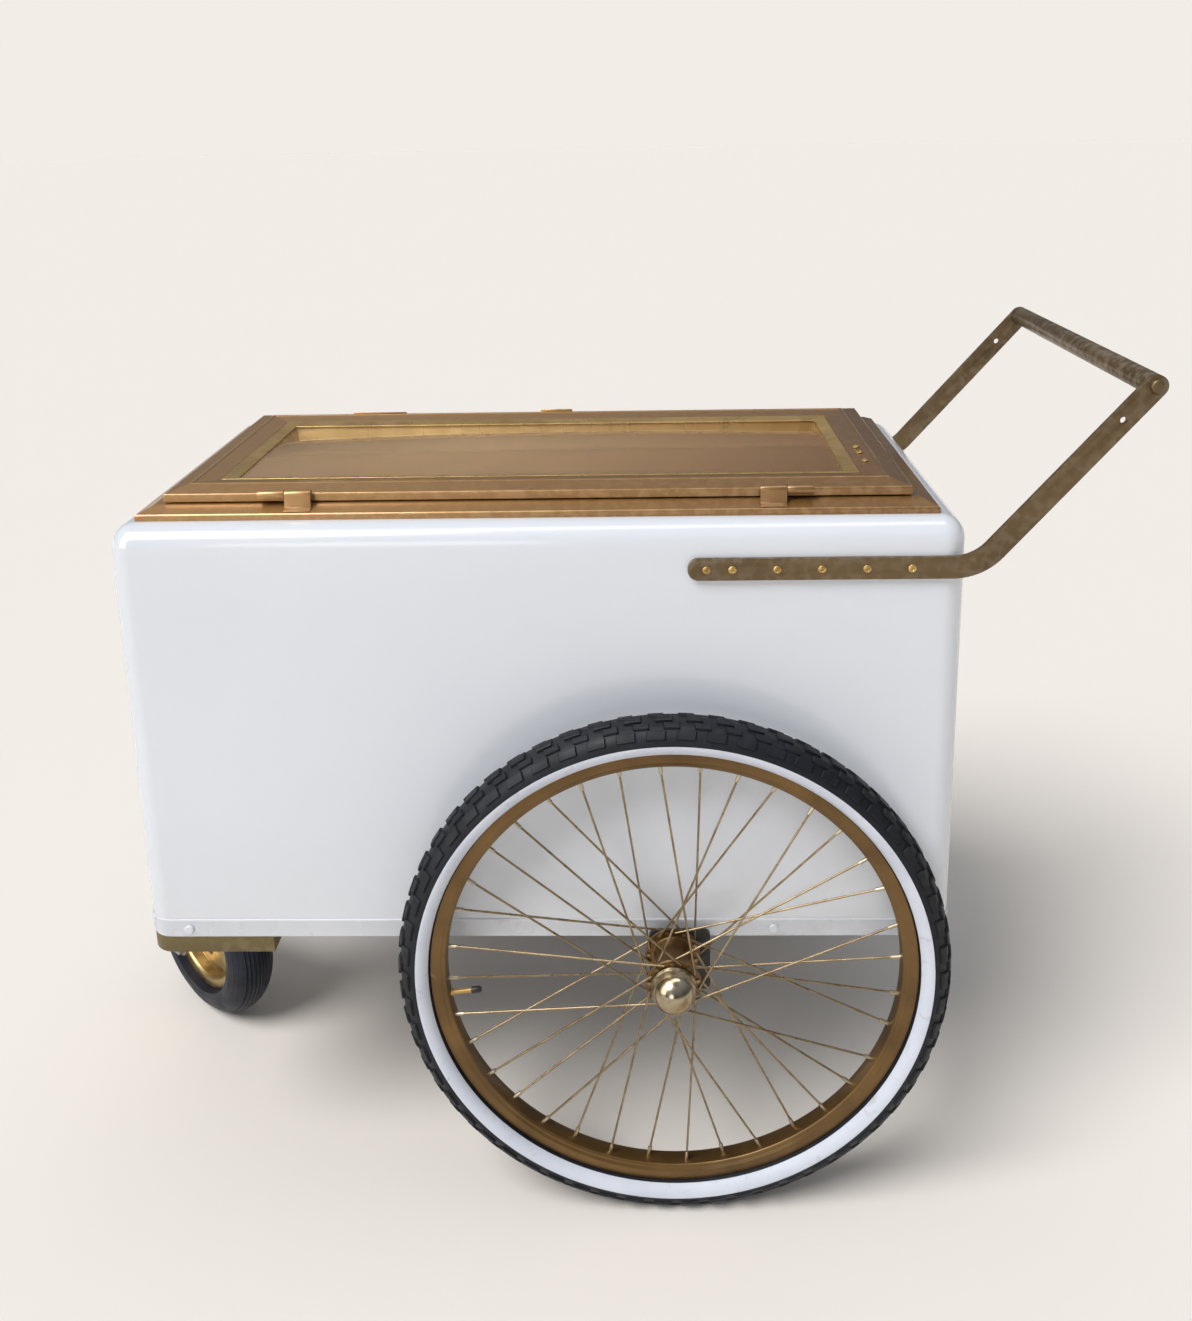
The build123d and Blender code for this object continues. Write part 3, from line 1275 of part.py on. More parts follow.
caster_bearings = [
    caster_turned(
        [
            (end * (caster_seat + SEAT_PLAY), CASTER_AXLE_RADIUS + BEARING_CLEARANCE),
            (end * CASTER_RIM_HALF_WIDTH, CASTER_AXLE_RADIUS + BEARING_CLEARANCE),
            (end * CASTER_RIM_HALF_WIDTH, CASTER_BEARING_RADIUS - BEARING_FIT),
            (end * (caster_seat + SEAT_PLAY), CASTER_BEARING_RADIUS - BEARING_FIT),
        ]
    )
    for end in (-1, 1)
]
save_group(caster_bearings, "caster_bearings")

caster_tread = CASTER_RADIUS - CASTER_HALF_WIDTH
caster_bead = bend - TYRE_FIT
bead_bottom = well + RIM_DISC + TYRE_FIT
bead_top = CASTER_RIM_RADIUS + RIM_FLARE
tyre_cut = 2 * (CASTER_RIM_RADIUS + TYRE_FIT - caster_tread + CASTER_HALF_WIDTH)
with BuildPart() as caster_tyre:
    with BuildSketch(CASTER_SECTION):
        with Locations((0, caster_tread)):
            Circle(CASTER_HALF_WIDTH)
        with Locations((0, caster_tread - CASTER_HALF_WIDTH)):
            Rectangle(2 * CASTER_HALF_WIDTH, tyre_cut, mode=Mode.SUBTRACT)
        with Locations((0, (bead_bottom + bead_top) / 2)):
            Rectangle(2 * caster_bead, bead_top - bead_bottom)
    revolve(axis=CASTER_LINE)
save(caster_tyre.part, "caster_tyre")

valve_start, valve_bend, valve_end = [
    CASTER_SIDE.from_local_coords(Vector(along, inwards - well, CASTER_RIM_HALF_WIDTH + outwards))
    for along, inwards, outwards in CASTER_VALVE_COURSE
]
with BuildPart() as caster_valve:
    with BuildLine():
        Polyline(valve_start, valve_bend, valve_end)
    with BuildSketch(Plane(origin=valve_start, z_dir=valve_bend - valve_start)):
        Circle(CASTER_VALVE_RADIUS)
    sweep(transition=Transition.ROUND)
save(caster_valve.part, "caster_valve")
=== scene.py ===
import json
from math import cos, hypot, pi, radians, sin, sqrt

import bmesh
import bpy
from mathutils import Matrix, Vector

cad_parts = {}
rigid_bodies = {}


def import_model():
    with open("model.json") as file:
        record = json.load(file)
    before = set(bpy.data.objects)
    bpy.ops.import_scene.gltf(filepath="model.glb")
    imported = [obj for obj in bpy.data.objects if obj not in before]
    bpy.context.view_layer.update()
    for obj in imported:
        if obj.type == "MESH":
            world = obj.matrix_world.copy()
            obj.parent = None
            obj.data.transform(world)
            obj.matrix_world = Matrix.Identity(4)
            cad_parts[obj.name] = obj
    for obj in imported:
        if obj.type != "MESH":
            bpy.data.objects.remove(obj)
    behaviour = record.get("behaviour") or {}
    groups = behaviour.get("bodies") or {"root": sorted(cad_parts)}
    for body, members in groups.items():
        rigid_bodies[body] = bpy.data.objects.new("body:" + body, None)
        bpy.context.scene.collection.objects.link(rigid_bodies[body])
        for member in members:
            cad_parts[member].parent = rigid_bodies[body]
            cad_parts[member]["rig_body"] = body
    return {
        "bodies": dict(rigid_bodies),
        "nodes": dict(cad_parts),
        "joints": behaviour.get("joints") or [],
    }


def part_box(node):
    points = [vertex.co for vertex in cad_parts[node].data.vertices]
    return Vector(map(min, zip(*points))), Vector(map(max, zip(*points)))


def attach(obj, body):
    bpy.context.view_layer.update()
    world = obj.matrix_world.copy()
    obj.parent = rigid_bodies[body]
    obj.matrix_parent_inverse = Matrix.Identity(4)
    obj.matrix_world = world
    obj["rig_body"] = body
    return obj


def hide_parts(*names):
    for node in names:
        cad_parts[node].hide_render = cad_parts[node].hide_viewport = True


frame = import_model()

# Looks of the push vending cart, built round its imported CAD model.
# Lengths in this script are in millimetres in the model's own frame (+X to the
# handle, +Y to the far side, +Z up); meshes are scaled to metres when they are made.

for thing in list(bpy.data.objects):
    if thing not in frame["nodes"].values() and thing not in frame["bodies"].values():
        bpy.data.objects.remove(thing)

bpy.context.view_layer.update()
MM = 0.001
NODES = frame["nodes"]
SLOTS = {name: node.material_slots[0].material.name for name, node in NODES.items()}
SIDES = {"near": -1, "far": 1}


def span(node):
    """Lowest and highest corner of a CAD node, in millimetres."""
    low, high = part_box(node)
    return low / MM, high / MM


def middle(node):
    low, high = span(node)
    return (low + high) / 2


# ------------------------------------------------------------- sizes from the frame
shell_low, shell_high = span("body_shell")
SHELL_CORNER = 29.0
SHELL_TOP_ROUND = 27.0
SHELL_WALL = 4.0
shell_middle = (shell_low + shell_high) / 2
SHELL_HALF_X = (shell_high.x - shell_low.x) / 2
SHELL_HALF_Y = (shell_high.y - shell_low.y) / 2
BODY_TOP = shell_high.z

liner_low, liner_high = span("liner")
pan_low, pan_high = span("bottom_pan")

axle_middle = middle("axle")
RIM_RADIUS = 287.0
RIM_DEPTH = 19.0
NIPPLE_FROM = RIM_RADIUS - 30
WHEEL_RADIUS = (span("tyre_near")[1].z - span("tyre_near")[0].z) / 2
TRACK_HALF = abs(middle("tyre_near").y)


# ---------------------------------------------------------------------- materials
NOISE_LOW, NOISE_HIGH = 0.3, 0.7


def shade(red, green, blue):
    """Linear colour from display values of 0 to 255."""
    return tuple(_linear(channel / 255) for channel in (red, green, blue)) + (1.0,)


def _linear(value):
    return value / 12.92 if value <= 0.04045 else ((value + 0.055) / 1.055) ** 2.4


class Finish:
    """A material being made: a Principled shader and the procedural nodes behind it."""

    def __init__(self, name, **settings):
        self.material = bpy.data.materials.new(name)
        self.material.use_nodes = True
        self.tree = self.material.node_tree
        self.shader = self.tree.nodes["Principled BSDF"]
        self.place = self.node("ShaderNodeTexCoord").outputs["Object"]
        for key, value in settings.items():
            self.shader.inputs[SOCKETS[key]].default_value = value

    def node(self, kind, settings=(), **inputs):
        made = self.tree.nodes.new(kind)
        for key, value in dict(settings).items():
            setattr(made, key, value)
        for key, value in inputs.items():
            self.put(value, made.inputs[key.replace("_", " ")])
        return made

    def put(self, value, socket):
        if isinstance(value, bpy.types.NodeSocket):
            self.tree.links.new(value, socket)
        else:
            socket.default_value = value

    def noise(self, scale, detail=4.0, stretch=(1, 1, 1), warp=0.0):
        """Noise of a scale per metre, 0 to 1, stretched along the axes with small factors."""
        mapped = self.node("ShaderNodeMapping", Vector=self.place, Scale=stretch)
        made = self.node("ShaderNodeTexNoise", Vector=mapped.outputs[0], Scale=scale, Detail=detail)
        made.inputs["Distortion"].default_value = warp
        return made.outputs[0]

    def cells(self, scale):
        made = self.node("ShaderNodeTexVoronoi", Vector=self.place, Scale=scale)
        return made.outputs["Distance"]

    def ramp(self, value, *stops):
        """Colours or greys by value; stops are (position, colour or grey)."""
        made = self.node("ShaderNodeValToRGB", Fac=value)
        ramp = made.color_ramp
        while len(ramp.elements) < len(stops):
            ramp.elements.new(0.5)
        for element, (position, colour) in zip(ramp.elements, stops):
            element.position = position
            element.color = colour if isinstance(colour, tuple) else (colour, colour, colour, 1)
        return made.outputs[0]

    def fit(self, value, low, high, to_low, to_high):
        made = self.node("ShaderNodeMapRange", Value=value)
        for index, number in enumerate((low, high, to_low, to_high), start=1):
            made.inputs[index].default_value = number
        return made.outputs[0]

    def math(self, operation, first, second=0.0):
        made = self.node("ShaderNodeMath", {"operation": operation})
        self.put(first, made.inputs[0])
        self.put(second, made.inputs[1])
        return made.outputs[0]

    def blend(self, factor, first, second, mode="MIX"):
        made = self.node("ShaderNodeMix", {"data_type": "RGBA", "blend_type": mode})
        self.put(factor, made.inputs[0])
        self.put(first, made.inputs[6])
        self.put(second, made.inputs[7])
        return made.outputs[2]

    def colour(self, value):
        self.put(value, self.shader.inputs["Base Color"])
        return self

    def roughness(self, value):
        self.put(value, self.shader.inputs["Roughness"])
        return self

    def tones(self, noise, dark, light):
        """Two colours blended over the middle of a noise's range."""
        return self.ramp(noise, (NOISE_LOW, dark), (NOISE_HIGH, light))

    def rough_patches(self, noise, low, high):
        """Roughness that follows a noise from low to high."""
        return self.roughness(self.fit(noise, NOISE_LOW, NOISE_HIGH, low, high))

    def bump(self, *layers):
        """Bump layers of (height, strength, depth in mm), coarse first."""
        normal = None
        for height, strength, depth in layers:
            made = self.node(
                "ShaderNodeBump", Height=height, Strength=strength, Distance=depth * MM
            )
            if normal is not None:
                self.put(normal, made.inputs["Normal"])
            normal = made.outputs[0]
        self.put(normal, self.shader.inputs["Normal"])
        return self

    def axis_distance(self, centre, axis):
        """Distance in metres from a line through centre (mm) along axis."""
        moved = self.node("ShaderNodeVectorMath", {"operation": "SUBTRACT"})
        self.put(self.place, moved.inputs[0])
        moved.inputs[1].default_value = tuple(Vector(centre) * MM)
        cross = self.node("ShaderNodeVectorMath", {"operation": "CROSS_PRODUCT"})
        self.put(moved.outputs[0], cross.inputs[0])
        cross.inputs[1].default_value = tuple(axis)
        length = self.node("ShaderNodeVectorMath", {"operation": "LENGTH"})
        self.put(cross.outputs[0], length.inputs[0])
        return length.outputs["Value"]

    def along(self, axis):
        """Position in metres along X, Y or Z."""
        return self.node("ShaderNodeSeparateXYZ", Vector=self.place).outputs[axis]

    def edges(self, low, high):
        """1 on outside edges, 0 on flats."""
        geometry = self.node("ShaderNodeNewGeometry")
        return self.fit(geometry.outputs["Pointiness"], low, high, 0.0, 1.0)


SOCKETS = {
    "metallic": "Metallic",
    "rough": "Roughness",
    "coat": "Coat Weight",
    "coat_rough": "Coat Roughness",
    "ior": "IOR",
    "specular": "Specular IOR Level",
    "transmission": "Transmission Weight",
}


def shell_enamel():
    """High-gloss cool white skin: faint waviness, finer orange peel, dust low down."""
    made = Finish("shell_enamel_gloss", coat=0.5, coat_rough=0.06, specular=0.5)
    clouds = made.tones(made.noise(2.2), shade(224, 228, 235), shade(229, 233, 239))
    dust = made.math("MULTIPLY", made.fit(made.along("Z"), 0.36, 0.5, 0.35, 0.0), made.noise(14, 6))
    made.colour(made.blend(dust, clouds, shade(206, 203, 196)))
    made.rough_patches(made.noise(9, 5), 0.16, 0.26)
    return made.bump((made.noise(3.5, 1), 0.35, 2.0), (made.noise(260, 2), 0.05, 0.1))


def pan_enamel():
    made = Finish("pan_enamel_gloss", coat=0.3, coat_rough=0.1)
    clouds = made.tones(made.noise(6), shade(218, 222, 229), shade(228, 231, 237))
    marks = made.fit(made.noise(40, 8), 0.58, 0.75, 0, 0.35)
    band = made.blend(marks, clouds, shade(190, 184, 172))
    # Painted shade: the pan's underside is dark grey so the floor under the cart stays in shadow.
    underside_painted_shade = made.tones(made.noise(25, 8), shade(58, 55, 52), shade(78, 74, 69))
    underside = made.fit(made.along("Z"), (pan_low.z + 0.3) * MM, (pan_low.z + 1.5) * MM, 1.0, 0.0)
    made.colour(made.blend(underside, band, underside_painted_shade))
    made.rough_patches(made.noise(18), 0.2, 0.34)
    return made.bump((made.noise(12, 2), 0.3, 0.6), (made.noise(300, 2), 0.06, 0.1))


def liner_plastic():
    made = Finish("liner_satin_white", specular=0.4)
    made.colour(made.tones(made.noise(5, 6), shade(206, 203, 195), shade(222, 220, 214)))
    made.rough_patches(made.noise(30), 0.35, 0.5)
    return made.bump((made.noise(500, 2), 0.1, 0.2))


def foam():
    made = Finish("foam_cream", rough=0.95)
    made.colour(made.tones(made.noise(60, 6), shade(205, 184, 130), shade(226, 208, 160)))
    return made.bump((made.cells(500), 0.6, 0.8))


def metal_paint(
    name, dark, light, worn, metallic, rough,
    scale=5.0, wear=0.0, brushed=(1, 1, 1), handle_end_shade=1.0, coat=0.15,
):
    """Metallic paint: soft cloudy tone, fine flake, worn edges where asked, and a
    painted shade that darkens and browns it towards the handle end by the given factor."""
    made = Finish(name, metallic=metallic, coat=coat, coat_rough=0.1)
    tone = made.ramp(made.noise(scale, 5, brushed, 0.4), (0.32, dark), (0.68, light))
    grain = made.noise(1400, 2)
    tone = made.blend(0.12, tone, made.ramp(grain, (0.35, dark), (0.65, light)))
    # Painted shade: darker and browner towards the handle end, away from the key light.
    if handle_end_shade < 1.0:
        towards_handle = made.fit(made.along("X"), -0.3, 0.42, 0.0, 1.0)
        shade_multiplier = tuple(handle_end_shade**power for power in (1.0, 1.15, 1.4)) + (1.0,)
        tone = made.blend(towards_handle, tone, made.blend(1.0, tone, shade_multiplier, "MULTIPLY"))
    if wear:
        patches = made.fit(made.noise(90, 5), 0.45, 0.6, 0, wear)
        chipped = made.math("MULTIPLY", made.edges(0.52, 0.6), patches)
        tone = made.blend(chipped, tone, worn)
    made.colour(tone)
    made.rough_patches(made.noise(22, 6), rough - 0.03, rough + 0.05)
    return made.bump((made.noise(12, 2), 0.06, 0.4), (grain, 0.04, 0.06))


def bronze_paint():
    return metal_paint(
        "bronze_paint_satin", shade(168, 126, 74), shade(180, 137, 84), shade(205, 170, 118),
        0.45, 0.3, scale=3.0, wear=0.25, brushed=(0.35, 1, 1), handle_end_shade=0.56, coat=0.5,
    )


def dark_bronze_paint():
    return metal_paint(
        "dark_bronze_paint_worn", shade(90, 72, 44), shade(114, 92, 60), shade(190, 178, 158),
        0.5, 0.4, scale=9.0, wear=0.8,
    )


def gold_paint_board():
    return metal_paint(
        "gold_paint_on_board", shade(88, 75, 42), shade(118, 100, 60), shade(140, 126, 94),
        0.3, 0.5, scale=14.0, wear=0.5, brushed=(0.12, 1, 1), handle_end_shade=0.9,
    )


def wheel_bronze():
    return metal_paint(
        "wheel_bronze_anodised", shade(92, 68, 36), shade(126, 96, 54), shade(190, 160, 110),
        0.7, 0.36, scale=12.0, wear=0.5,
    )


def black_paint():
    return metal_paint(
        "black_bracket_paint", shade(28, 26, 24), shade(46, 43, 40), shade(110, 104, 96),
        0.2, 0.5, scale=20.0, wear=0.6,
    )


def bare_metal(name, dark, light, rough, scale=30.0, tarnish=None, metallic=1.0):
    """Unpainted metal: tone, fine scratches, and tarnish spots where asked."""
    made = Finish(name, metallic=metallic)
    tone = made.tones(made.noise(scale, 5, warp=0.5), dark, light)
    if tarnish:
        tone = made.blend(made.fit(made.noise(scale * 3, 8), 0.5, 0.72, 0, 0.75), tone, tarnish)
    made.colour(tone)
    made.rough_patches(made.noise(scale * 2.5, 7), rough - 0.05, rough + 0.12)
    return made.bump((made.noise(900, 2), 0.08, 0.08))


def brass():
    return bare_metal(
        "brass_bright", shade(186, 152, 92), shade(206, 174, 112),
        0.26, 14, shade(166, 132, 76), 0.6,
    )


def aged_brass():
    return bare_metal(
        "brass_aged", shade(150, 132, 96), shade(186, 176, 156),
        0.16, 34, shade(112, 84, 42),
    )


def steel():
    return bare_metal(
        "steel_zinc", shade(140, 138, 134), shade(176, 174, 170),
        0.35, tarnish=shade(104, 96, 84),
    )


def zinc_plate():
    return bare_metal(
        "zinc_plate_dull", shade(120, 112, 98), shade(160, 154, 142),
        0.4, 20, shade(90, 76, 54),
    )


def caster_rim_zinc():
    return bare_metal(
        "zinc_yellow", shade(170, 146, 100), shade(196, 174, 130),
        0.34, 24, shade(120, 98, 62),
    )


def spoke_wire():
    """Drawn wire with a bronze tint, and brighter nipples near the rim."""
    made = Finish("spoke_wire_bronze", metallic=0.92)
    wire = made.tones(made.noise(60, 4), shade(128, 108, 78), shade(164, 146, 116))
    outward = made.axis_distance(axle_middle, (0, 1, 0))
    nipple = made.fit(outward, NIPPLE_FROM * MM, (NIPPLE_FROM + 1) * MM, 0, 1)
    made.colour(made.blend(nipple, wire, shade(188, 176, 150)))
    made.rough_patches(made.noise(120, 4), 0.24, 0.4)
    return made.bump((made.noise(1500, 1), 0.05, 0.05))


def rubber(name, dark, light, rough, dust=shade(120, 118, 116), dusty=0.12):
    """Moulded rubber with a bloom of dust in patches."""
    made = Finish(name, specular=0.3)
    tone = made.tones(made.noise(26, 5), dark, light)
    made.colour(made.blend(made.fit(made.noise(70, 8), 0.5, 0.8, 0, dusty), tone, dust))
    made.rough_patches(made.noise(45, 5), rough - 0.08, rough + 0.12)
    return made.bump((made.noise(600, 3), 0.15, 0.15))


def tyre_rubber():
    return rubber("tyre_rubber_black", shade(13, 15, 20), shade(24, 27, 35), 0.52, dusty=0.05)


def caster_rubber():
    return rubber(
        "caster_rubber_blue_black", shade(16, 20, 31), shade(27, 32, 46), 0.46, dusty=0.06
    )


def tube_rubber():
    return rubber("tube_rubber_butyl", shade(30, 30, 32), shade(42, 42, 44), 0.6)


def gasket_rubber():
    return rubber("gasket_rubber_black", shade(22, 22, 22), shade(34, 33, 32), 0.55)


def white_rubber():
    """Whitewall band: cool white with scuffs and grey handling marks."""
    made = Finish("whitewall_rubber", specular=0.4)
    tone = made.tones(made.noise(12, 5), shade(204, 209, 221), shade(218, 223, 234))
    scuff = made.fit(made.noise(55, 9, warp=1.2), 0.6, 0.78, 0, 0.5)
    made.colour(made.blend(scuff, tone, shade(160, 158, 158)))
    made.rough_patches(made.noise(80, 5), 0.42, 0.62)
    return made.bump((made.noise(420, 3), 0.14, 0.15))


def black_plastic():
    made = Finish("black_plastic", specular=0.5)
    made.colour(made.tones(made.noise(80), shade(20, 20, 21), shade(34, 34, 35)))
    made.rough_patches(made.noise(200), 0.3, 0.45)
    return made.bump((made.noise(900, 2), 0.1, 0.1))


def pane():
    """Glass with a thin bronze film, darkened towards the handle end as painted shade, and faint
    smears that only change its roughness."""
    made = Finish("pane_bronze_glass", transmission=0.8, ior=1.5)
    film = made.tones(made.noise(3, 5), shade(222, 192, 150), shade(230, 202, 162))
    # Painted shade: the film darkens towards the handle end.
    pane_shade_to_handle = made.fit(made.along("X"), -0.15, 0.32, 0, 1)
    made.colour(made.blend(pane_shade_to_handle, film, shade(186, 150, 106)))
    made.roughness(made.fit(made.noise(16, 7), 0.55, 0.8, 0.0, 0.07))
    return made.bump((made.noise(2, 1), 0.05, 0.3))


# Each finish's function has the name of the slot that it fills.
FINISHES = (
    shell_enamel, pan_enamel, liner_plastic, foam, bronze_paint, brass, aged_brass, pane,
    gasket_rubber, dark_bronze_paint, steel, black_paint, zinc_plate, gold_paint_board,
    wheel_bronze, spoke_wire, tyre_rubber, tube_rubber, caster_rim_zinc,
)
MATERIALS = {make.__name__: make().material for make in FINISHES}
WHITEWALL = white_rubber().material
BLACK_PLASTIC = black_plastic().material
CASTER_RUBBER = caster_rubber().material

for name, node in NODES.items():
    node.material_slots[0].material = MATERIALS[SLOTS[name]]


# -------------------------------------------------------------------- mesh making
def add_piece(name, bm, body, slot, replaced=(), materials=None, sharp=35):
    """Link a finished bmesh (in mm) as a piece that rides on a body."""
    bmesh.ops.remove_doubles(bm, verts=bm.verts, dist=0.001)
    bmesh.ops.recalc_face_normals(bm, faces=bm.faces)
    bmesh.ops.scale(bm, vec=(MM, MM, MM), verts=bm.verts)
    mesh = bpy.data.meshes.new(name)
    bm.to_mesh(mesh)
    bm.free()
    mesh.polygons.foreach_set("use_smooth", [True] * len(mesh.polygons))
    mesh.set_sharp_from_angle(angle=radians(sharp))
    piece = bpy.data.objects.new(name, mesh)
    for material in materials or [MATERIALS[slot]]:
        mesh.materials.append(material)
    bpy.context.scene.collection.objects.link(piece)
    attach(piece, body)
    if replaced:
        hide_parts(*replaced)
    return piece


def body_of(node):
    return NODES[node]["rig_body"]


def stand_in(node, suffix, bm, materials=None, sharp=35):
    """Piece that takes one CAD node's place, body and slot."""
    return add_piece(f"{node}_{suffix}", bm, body_of(node), SLOTS[node], (node,), materials, sharp)


def skin(bm, rings, close_ends=False, material=0):
    """Quads between successive rings of points; close_ends joins the last ring to the
    first. Returns the rows of vertices and the faces."""
    rows = [[bm.verts.new(point) for point in ring] for ring in rings]
    pairs = list(zip(rows, rows[1:]))
    if close_ends:
        pairs.append((rows[-1], rows[0]))
    faces = []
    for first, second in pairs:
        count = len(first)
        for index in range(count):
            after = (index + 1) % count
            corners = (first[index], first[after], second[after], second[index])
            faces.append(bm.faces.new(corners))
            faces[-1].material_index = material
    return rows, faces


def eased(points, radius, steps=3, closed=True):
    """Outline with every corner rounded: a corner may carry its own radius."""
    outline = []
    count = len(points)
    for index, point in enumerate(points):
        here = Vector(point[:2])
        if not closed and index in (0, count - 1):
            outline.append(here)
            continue
        back = Vector(points[index - 1][:2]) - here
        ahead = Vector(points[(index + 1) % count][:2]) - here
        reach = point[2] if len(point) > 2 else radius
        reach = min(reach, 0.45 * back.length, 0.45 * ahead.length)
        start = here + back.normalized() * reach
        finish = here + ahead.normalized() * reach
        for step in range(steps + 1):
            t = step / steps
            outline.append(start * (1 - t) ** 2 + here * 2 * t * (1 - t) + finish * t**2)
    return outline


def rounded_rectangle(centre, half_x, half_y, corner, z, steps=10):
    """Ring of points round a rectangle with rounded corners."""
    ring = []
    for number, (sign_x, sign_y) in enumerate(((1, 1), (-1, 1), (-1, -1), (1, -1))):
        x = centre[0] + sign_x * (half_x - corner)
        y = centre[1] + sign_y * (half_y - corner)
        for step in range(steps + 1):
            angle = pi / 2 * (number + step / steps)
            ring.append((x + corner * cos(angle), y + corner * sin(angle), z))
    return ring


def turn_frame(axis):
    """Two directions square to an axis."""
    axis = Vector(axis).normalized()
    across = axis.cross(Vector((0, 0, 1))).normalized()
    return across, axis.cross(across)


def turned(bm, centre, axis, profile, segments, material=0):
    """Ring swept round an axis from a profile of (along the axis, radius) points."""
    first, second = turn_frame(axis)
    axis = Vector(axis).normalized()
    rings = []
    for step in range(segments):
        angle = 2 * pi * step / segments
        outwards = first * cos(angle) + second * sin(angle)
        rings.append(
            [Vector(centre) + axis * along + outwards * radius for along, radius in profile]
        )
    return skin(bm, rings, close_ends=True, material=material)


def prism(bm, profile, place, length_of):
    """Mitred bar: profile of (inwards, height); place(inwards, height, along) gives the
    point; length_of(inwards) the half length there."""
    ends = [
        [place(inwards, height, sign * length_of(inwards)) for inwards, height in profile]
        for sign in (-1, 1)
    ]
    rows, _ = skin(bm, ends)
    for row in rows:
        bm.faces.new(row)


def eased_copy(node, width, segments=2, angle=28):
    """The CAD node's own shape with its hard edges rounded by width."""
    bm = bmesh.new()
    bm.from_mesh(NODES[node].data)
    bmesh.ops.scale(bm, vec=(1 / MM, 1 / MM, 1 / MM), verts=bm.verts)
    bmesh.ops.remove_doubles(bm, verts=bm.verts, dist=0.002)
    bmesh.ops.dissolve_limit(bm, angle_limit=radians(0.6), verts=bm.verts, edges=bm.edges)
    hard = [
        edge
        for edge in bm.edges
        if len(edge.link_faces) == 2 and edge.calc_face_angle(0) > radians(angle)
    ]
    bmesh.ops.bevel(
        bm, geom=hard, offset=width, offset_type="OFFSET", segments=segments,
        profile=0.5, affect="EDGES", clamp_overlap=True,
    )
    return stand_in(node, "eased", bm, sharp=40)


# ------------------------------------------------------------------------ cabinet
def cabinet_skin():
    """Outer skin: straight sides, quarter-round top edge, deck with its opening."""
    centre = (shell_middle.x, shell_middle.y)
    gap = 0.2
    opening_half_x = (liner_high.x - liner_low.x) / 2 + gap
    opening_half_y = (liner_high.y - liner_low.y) / 2 + gap
    opening_corner = 22.0
    top = BODY_TOP

    def outside(inset, z):
        return rounded_rectangle(
            centre, SHELL_HALF_X - inset, SHELL_HALF_Y - inset, SHELL_CORNER - inset, z
        )

    rounding = [radians(90 * step / 10) for step in range(11)]
    rings = [outside(0, shell_low.z), outside(0, shell_low.z + 40), outside(0, top - 80)]
    rings += [
        outside(SHELL_TOP_ROUND * (1 - cos(a)), top - SHELL_TOP_ROUND * (1 - sin(a)))
        for a in rounding
    ]
    opening = (centre, opening_half_x, opening_half_y, opening_corner)
    rings.append(rounded_rectangle(*opening, top))
    rings.append(rounded_rectangle(*opening, top - SHELL_WALL))
    wall = SHELL_WALL
    inner_round = SHELL_TOP_ROUND - wall
    rings += [
        outside(wall + inner_round * (1 - cos(a)), top - wall - inner_round * (1 - sin(a)))
        for a in reversed(rounding)
    ]
    rings.append(outside(wall, shell_low.z))
    bm = bmesh.new()
    skin(bm, rings, close_ends=True)
    stand_in("body_shell", "skin", bm, sharp=50)


def liner_skin():
    """Lining with a coved floor, open at the top."""
    centre = middle("liner")
    half_x = (liner_high.x - liner_low.x) / 2
    half_y = (liner_high.y - liner_low.y) / 2
    corner, least_corner = 21.8, 1.5
    wall = 2.0
    cove = 14.0

    def ring(inset, z):
        rounding = max(corner - inset, least_corner)
        return rounded_rectangle(centre, half_x - inset, half_y - inset, rounding, z)

    arc = [radians(90 * step / 5) for step in range(6)]
    floor = liner_low.z + wall
    rings = [ring(cove, liner_low.z), ring(0, liner_low.z + 0.4)]
    rings += [ring(0, liner_high.z), ring(wall, liner_high.z)]
    rings += [ring(wall + cove * (1 - cos(a)), floor + cove * (1 - sin(a))) for a in arc]
    bm = bmesh.new()
    rows, _ = skin(bm, rings)
    bm.faces.new(rows[0])
    bm.faces.new(rows[-1])
    stand_in("liner", "moulded", bm)


def pan_skin():
    """Folded pan: flat floor, upright band, and a rolled lip that catches the light."""
    centre = middle("bottom_pan")
    half_x = (pan_high.x - pan_low.x) / 2
    half_y = (pan_high.y - pan_low.y) / 2
    corner = SHELL_CORNER + 1.3
    wall = 1.2
    fold = 3.0
    low, high = pan_low.z, pan_high.z

    def ring(inset, z):
        return rounded_rectangle(centre, half_x - inset, half_y - inset, corner - inset, z)

    rings = [ring(fold, low), ring(fold * 0.35, low + 0.4)]
    rings += [ring(0.25, low + fold * 0.8), ring(0.25, high - 3.4)]
    rings += [ring(0, high - 2.9), ring(0, high - 1.0), ring(0.3, high - 0.2), ring(0.7, high)]
    rings += [ring(wall, high - 0.4), ring(wall, low + 2.0)]
    bm = bmesh.new()
    rows, _ = skin(bm, rings)
    bm.faces.new(rows[0])
    bm.faces.new(rows[-1])
    stand_in("bottom_pan", "folded", bm, sharp=45)


cabinet_skin()
liner_skin()
pan_skin()


# ---------------------------------------------------------------- mitred mouldings
def rail_places(prefix):
    """For each side of a frame: a function placing (inwards, height, along), half length."""
    front = span(f"{prefix}_front")[0].x
    rear = span(f"{prefix}_rear")[1].x
    near = span(f"{prefix}_near")[0].y
    far = span(f"{prefix}_far")[1].y
    x = (front + rear) / 2
    y = (near + far) / 2
    return {
        "near": (lambda d, z, t: Vector((x + t, near + d, z)), (rear - front) / 2),
        "far": (lambda d, z, t: Vector((x - t, far - d, z)), (rear - front) / 2),
        "front": (lambda d, z, t: Vector((front + d, y - t, z)), (far - near) / 2),
        "rear": (lambda d, z, t: Vector((rear - d, y + t, z)), (far - near) / 2),
    }


def mouldings(prefix, profile, radius):
    """The four mitred rails of a frame, their corners eased by radius."""
    outline = eased(profile, radius)
    for edge, (place, half) in rail_places(prefix).items():
        bm = bmesh.new()
        prism(bm, outline, place, lambda inwards, half=half: half - inwards)
        stand_in(f"{prefix}_{edge}", "moulding", bm, sharp=30)


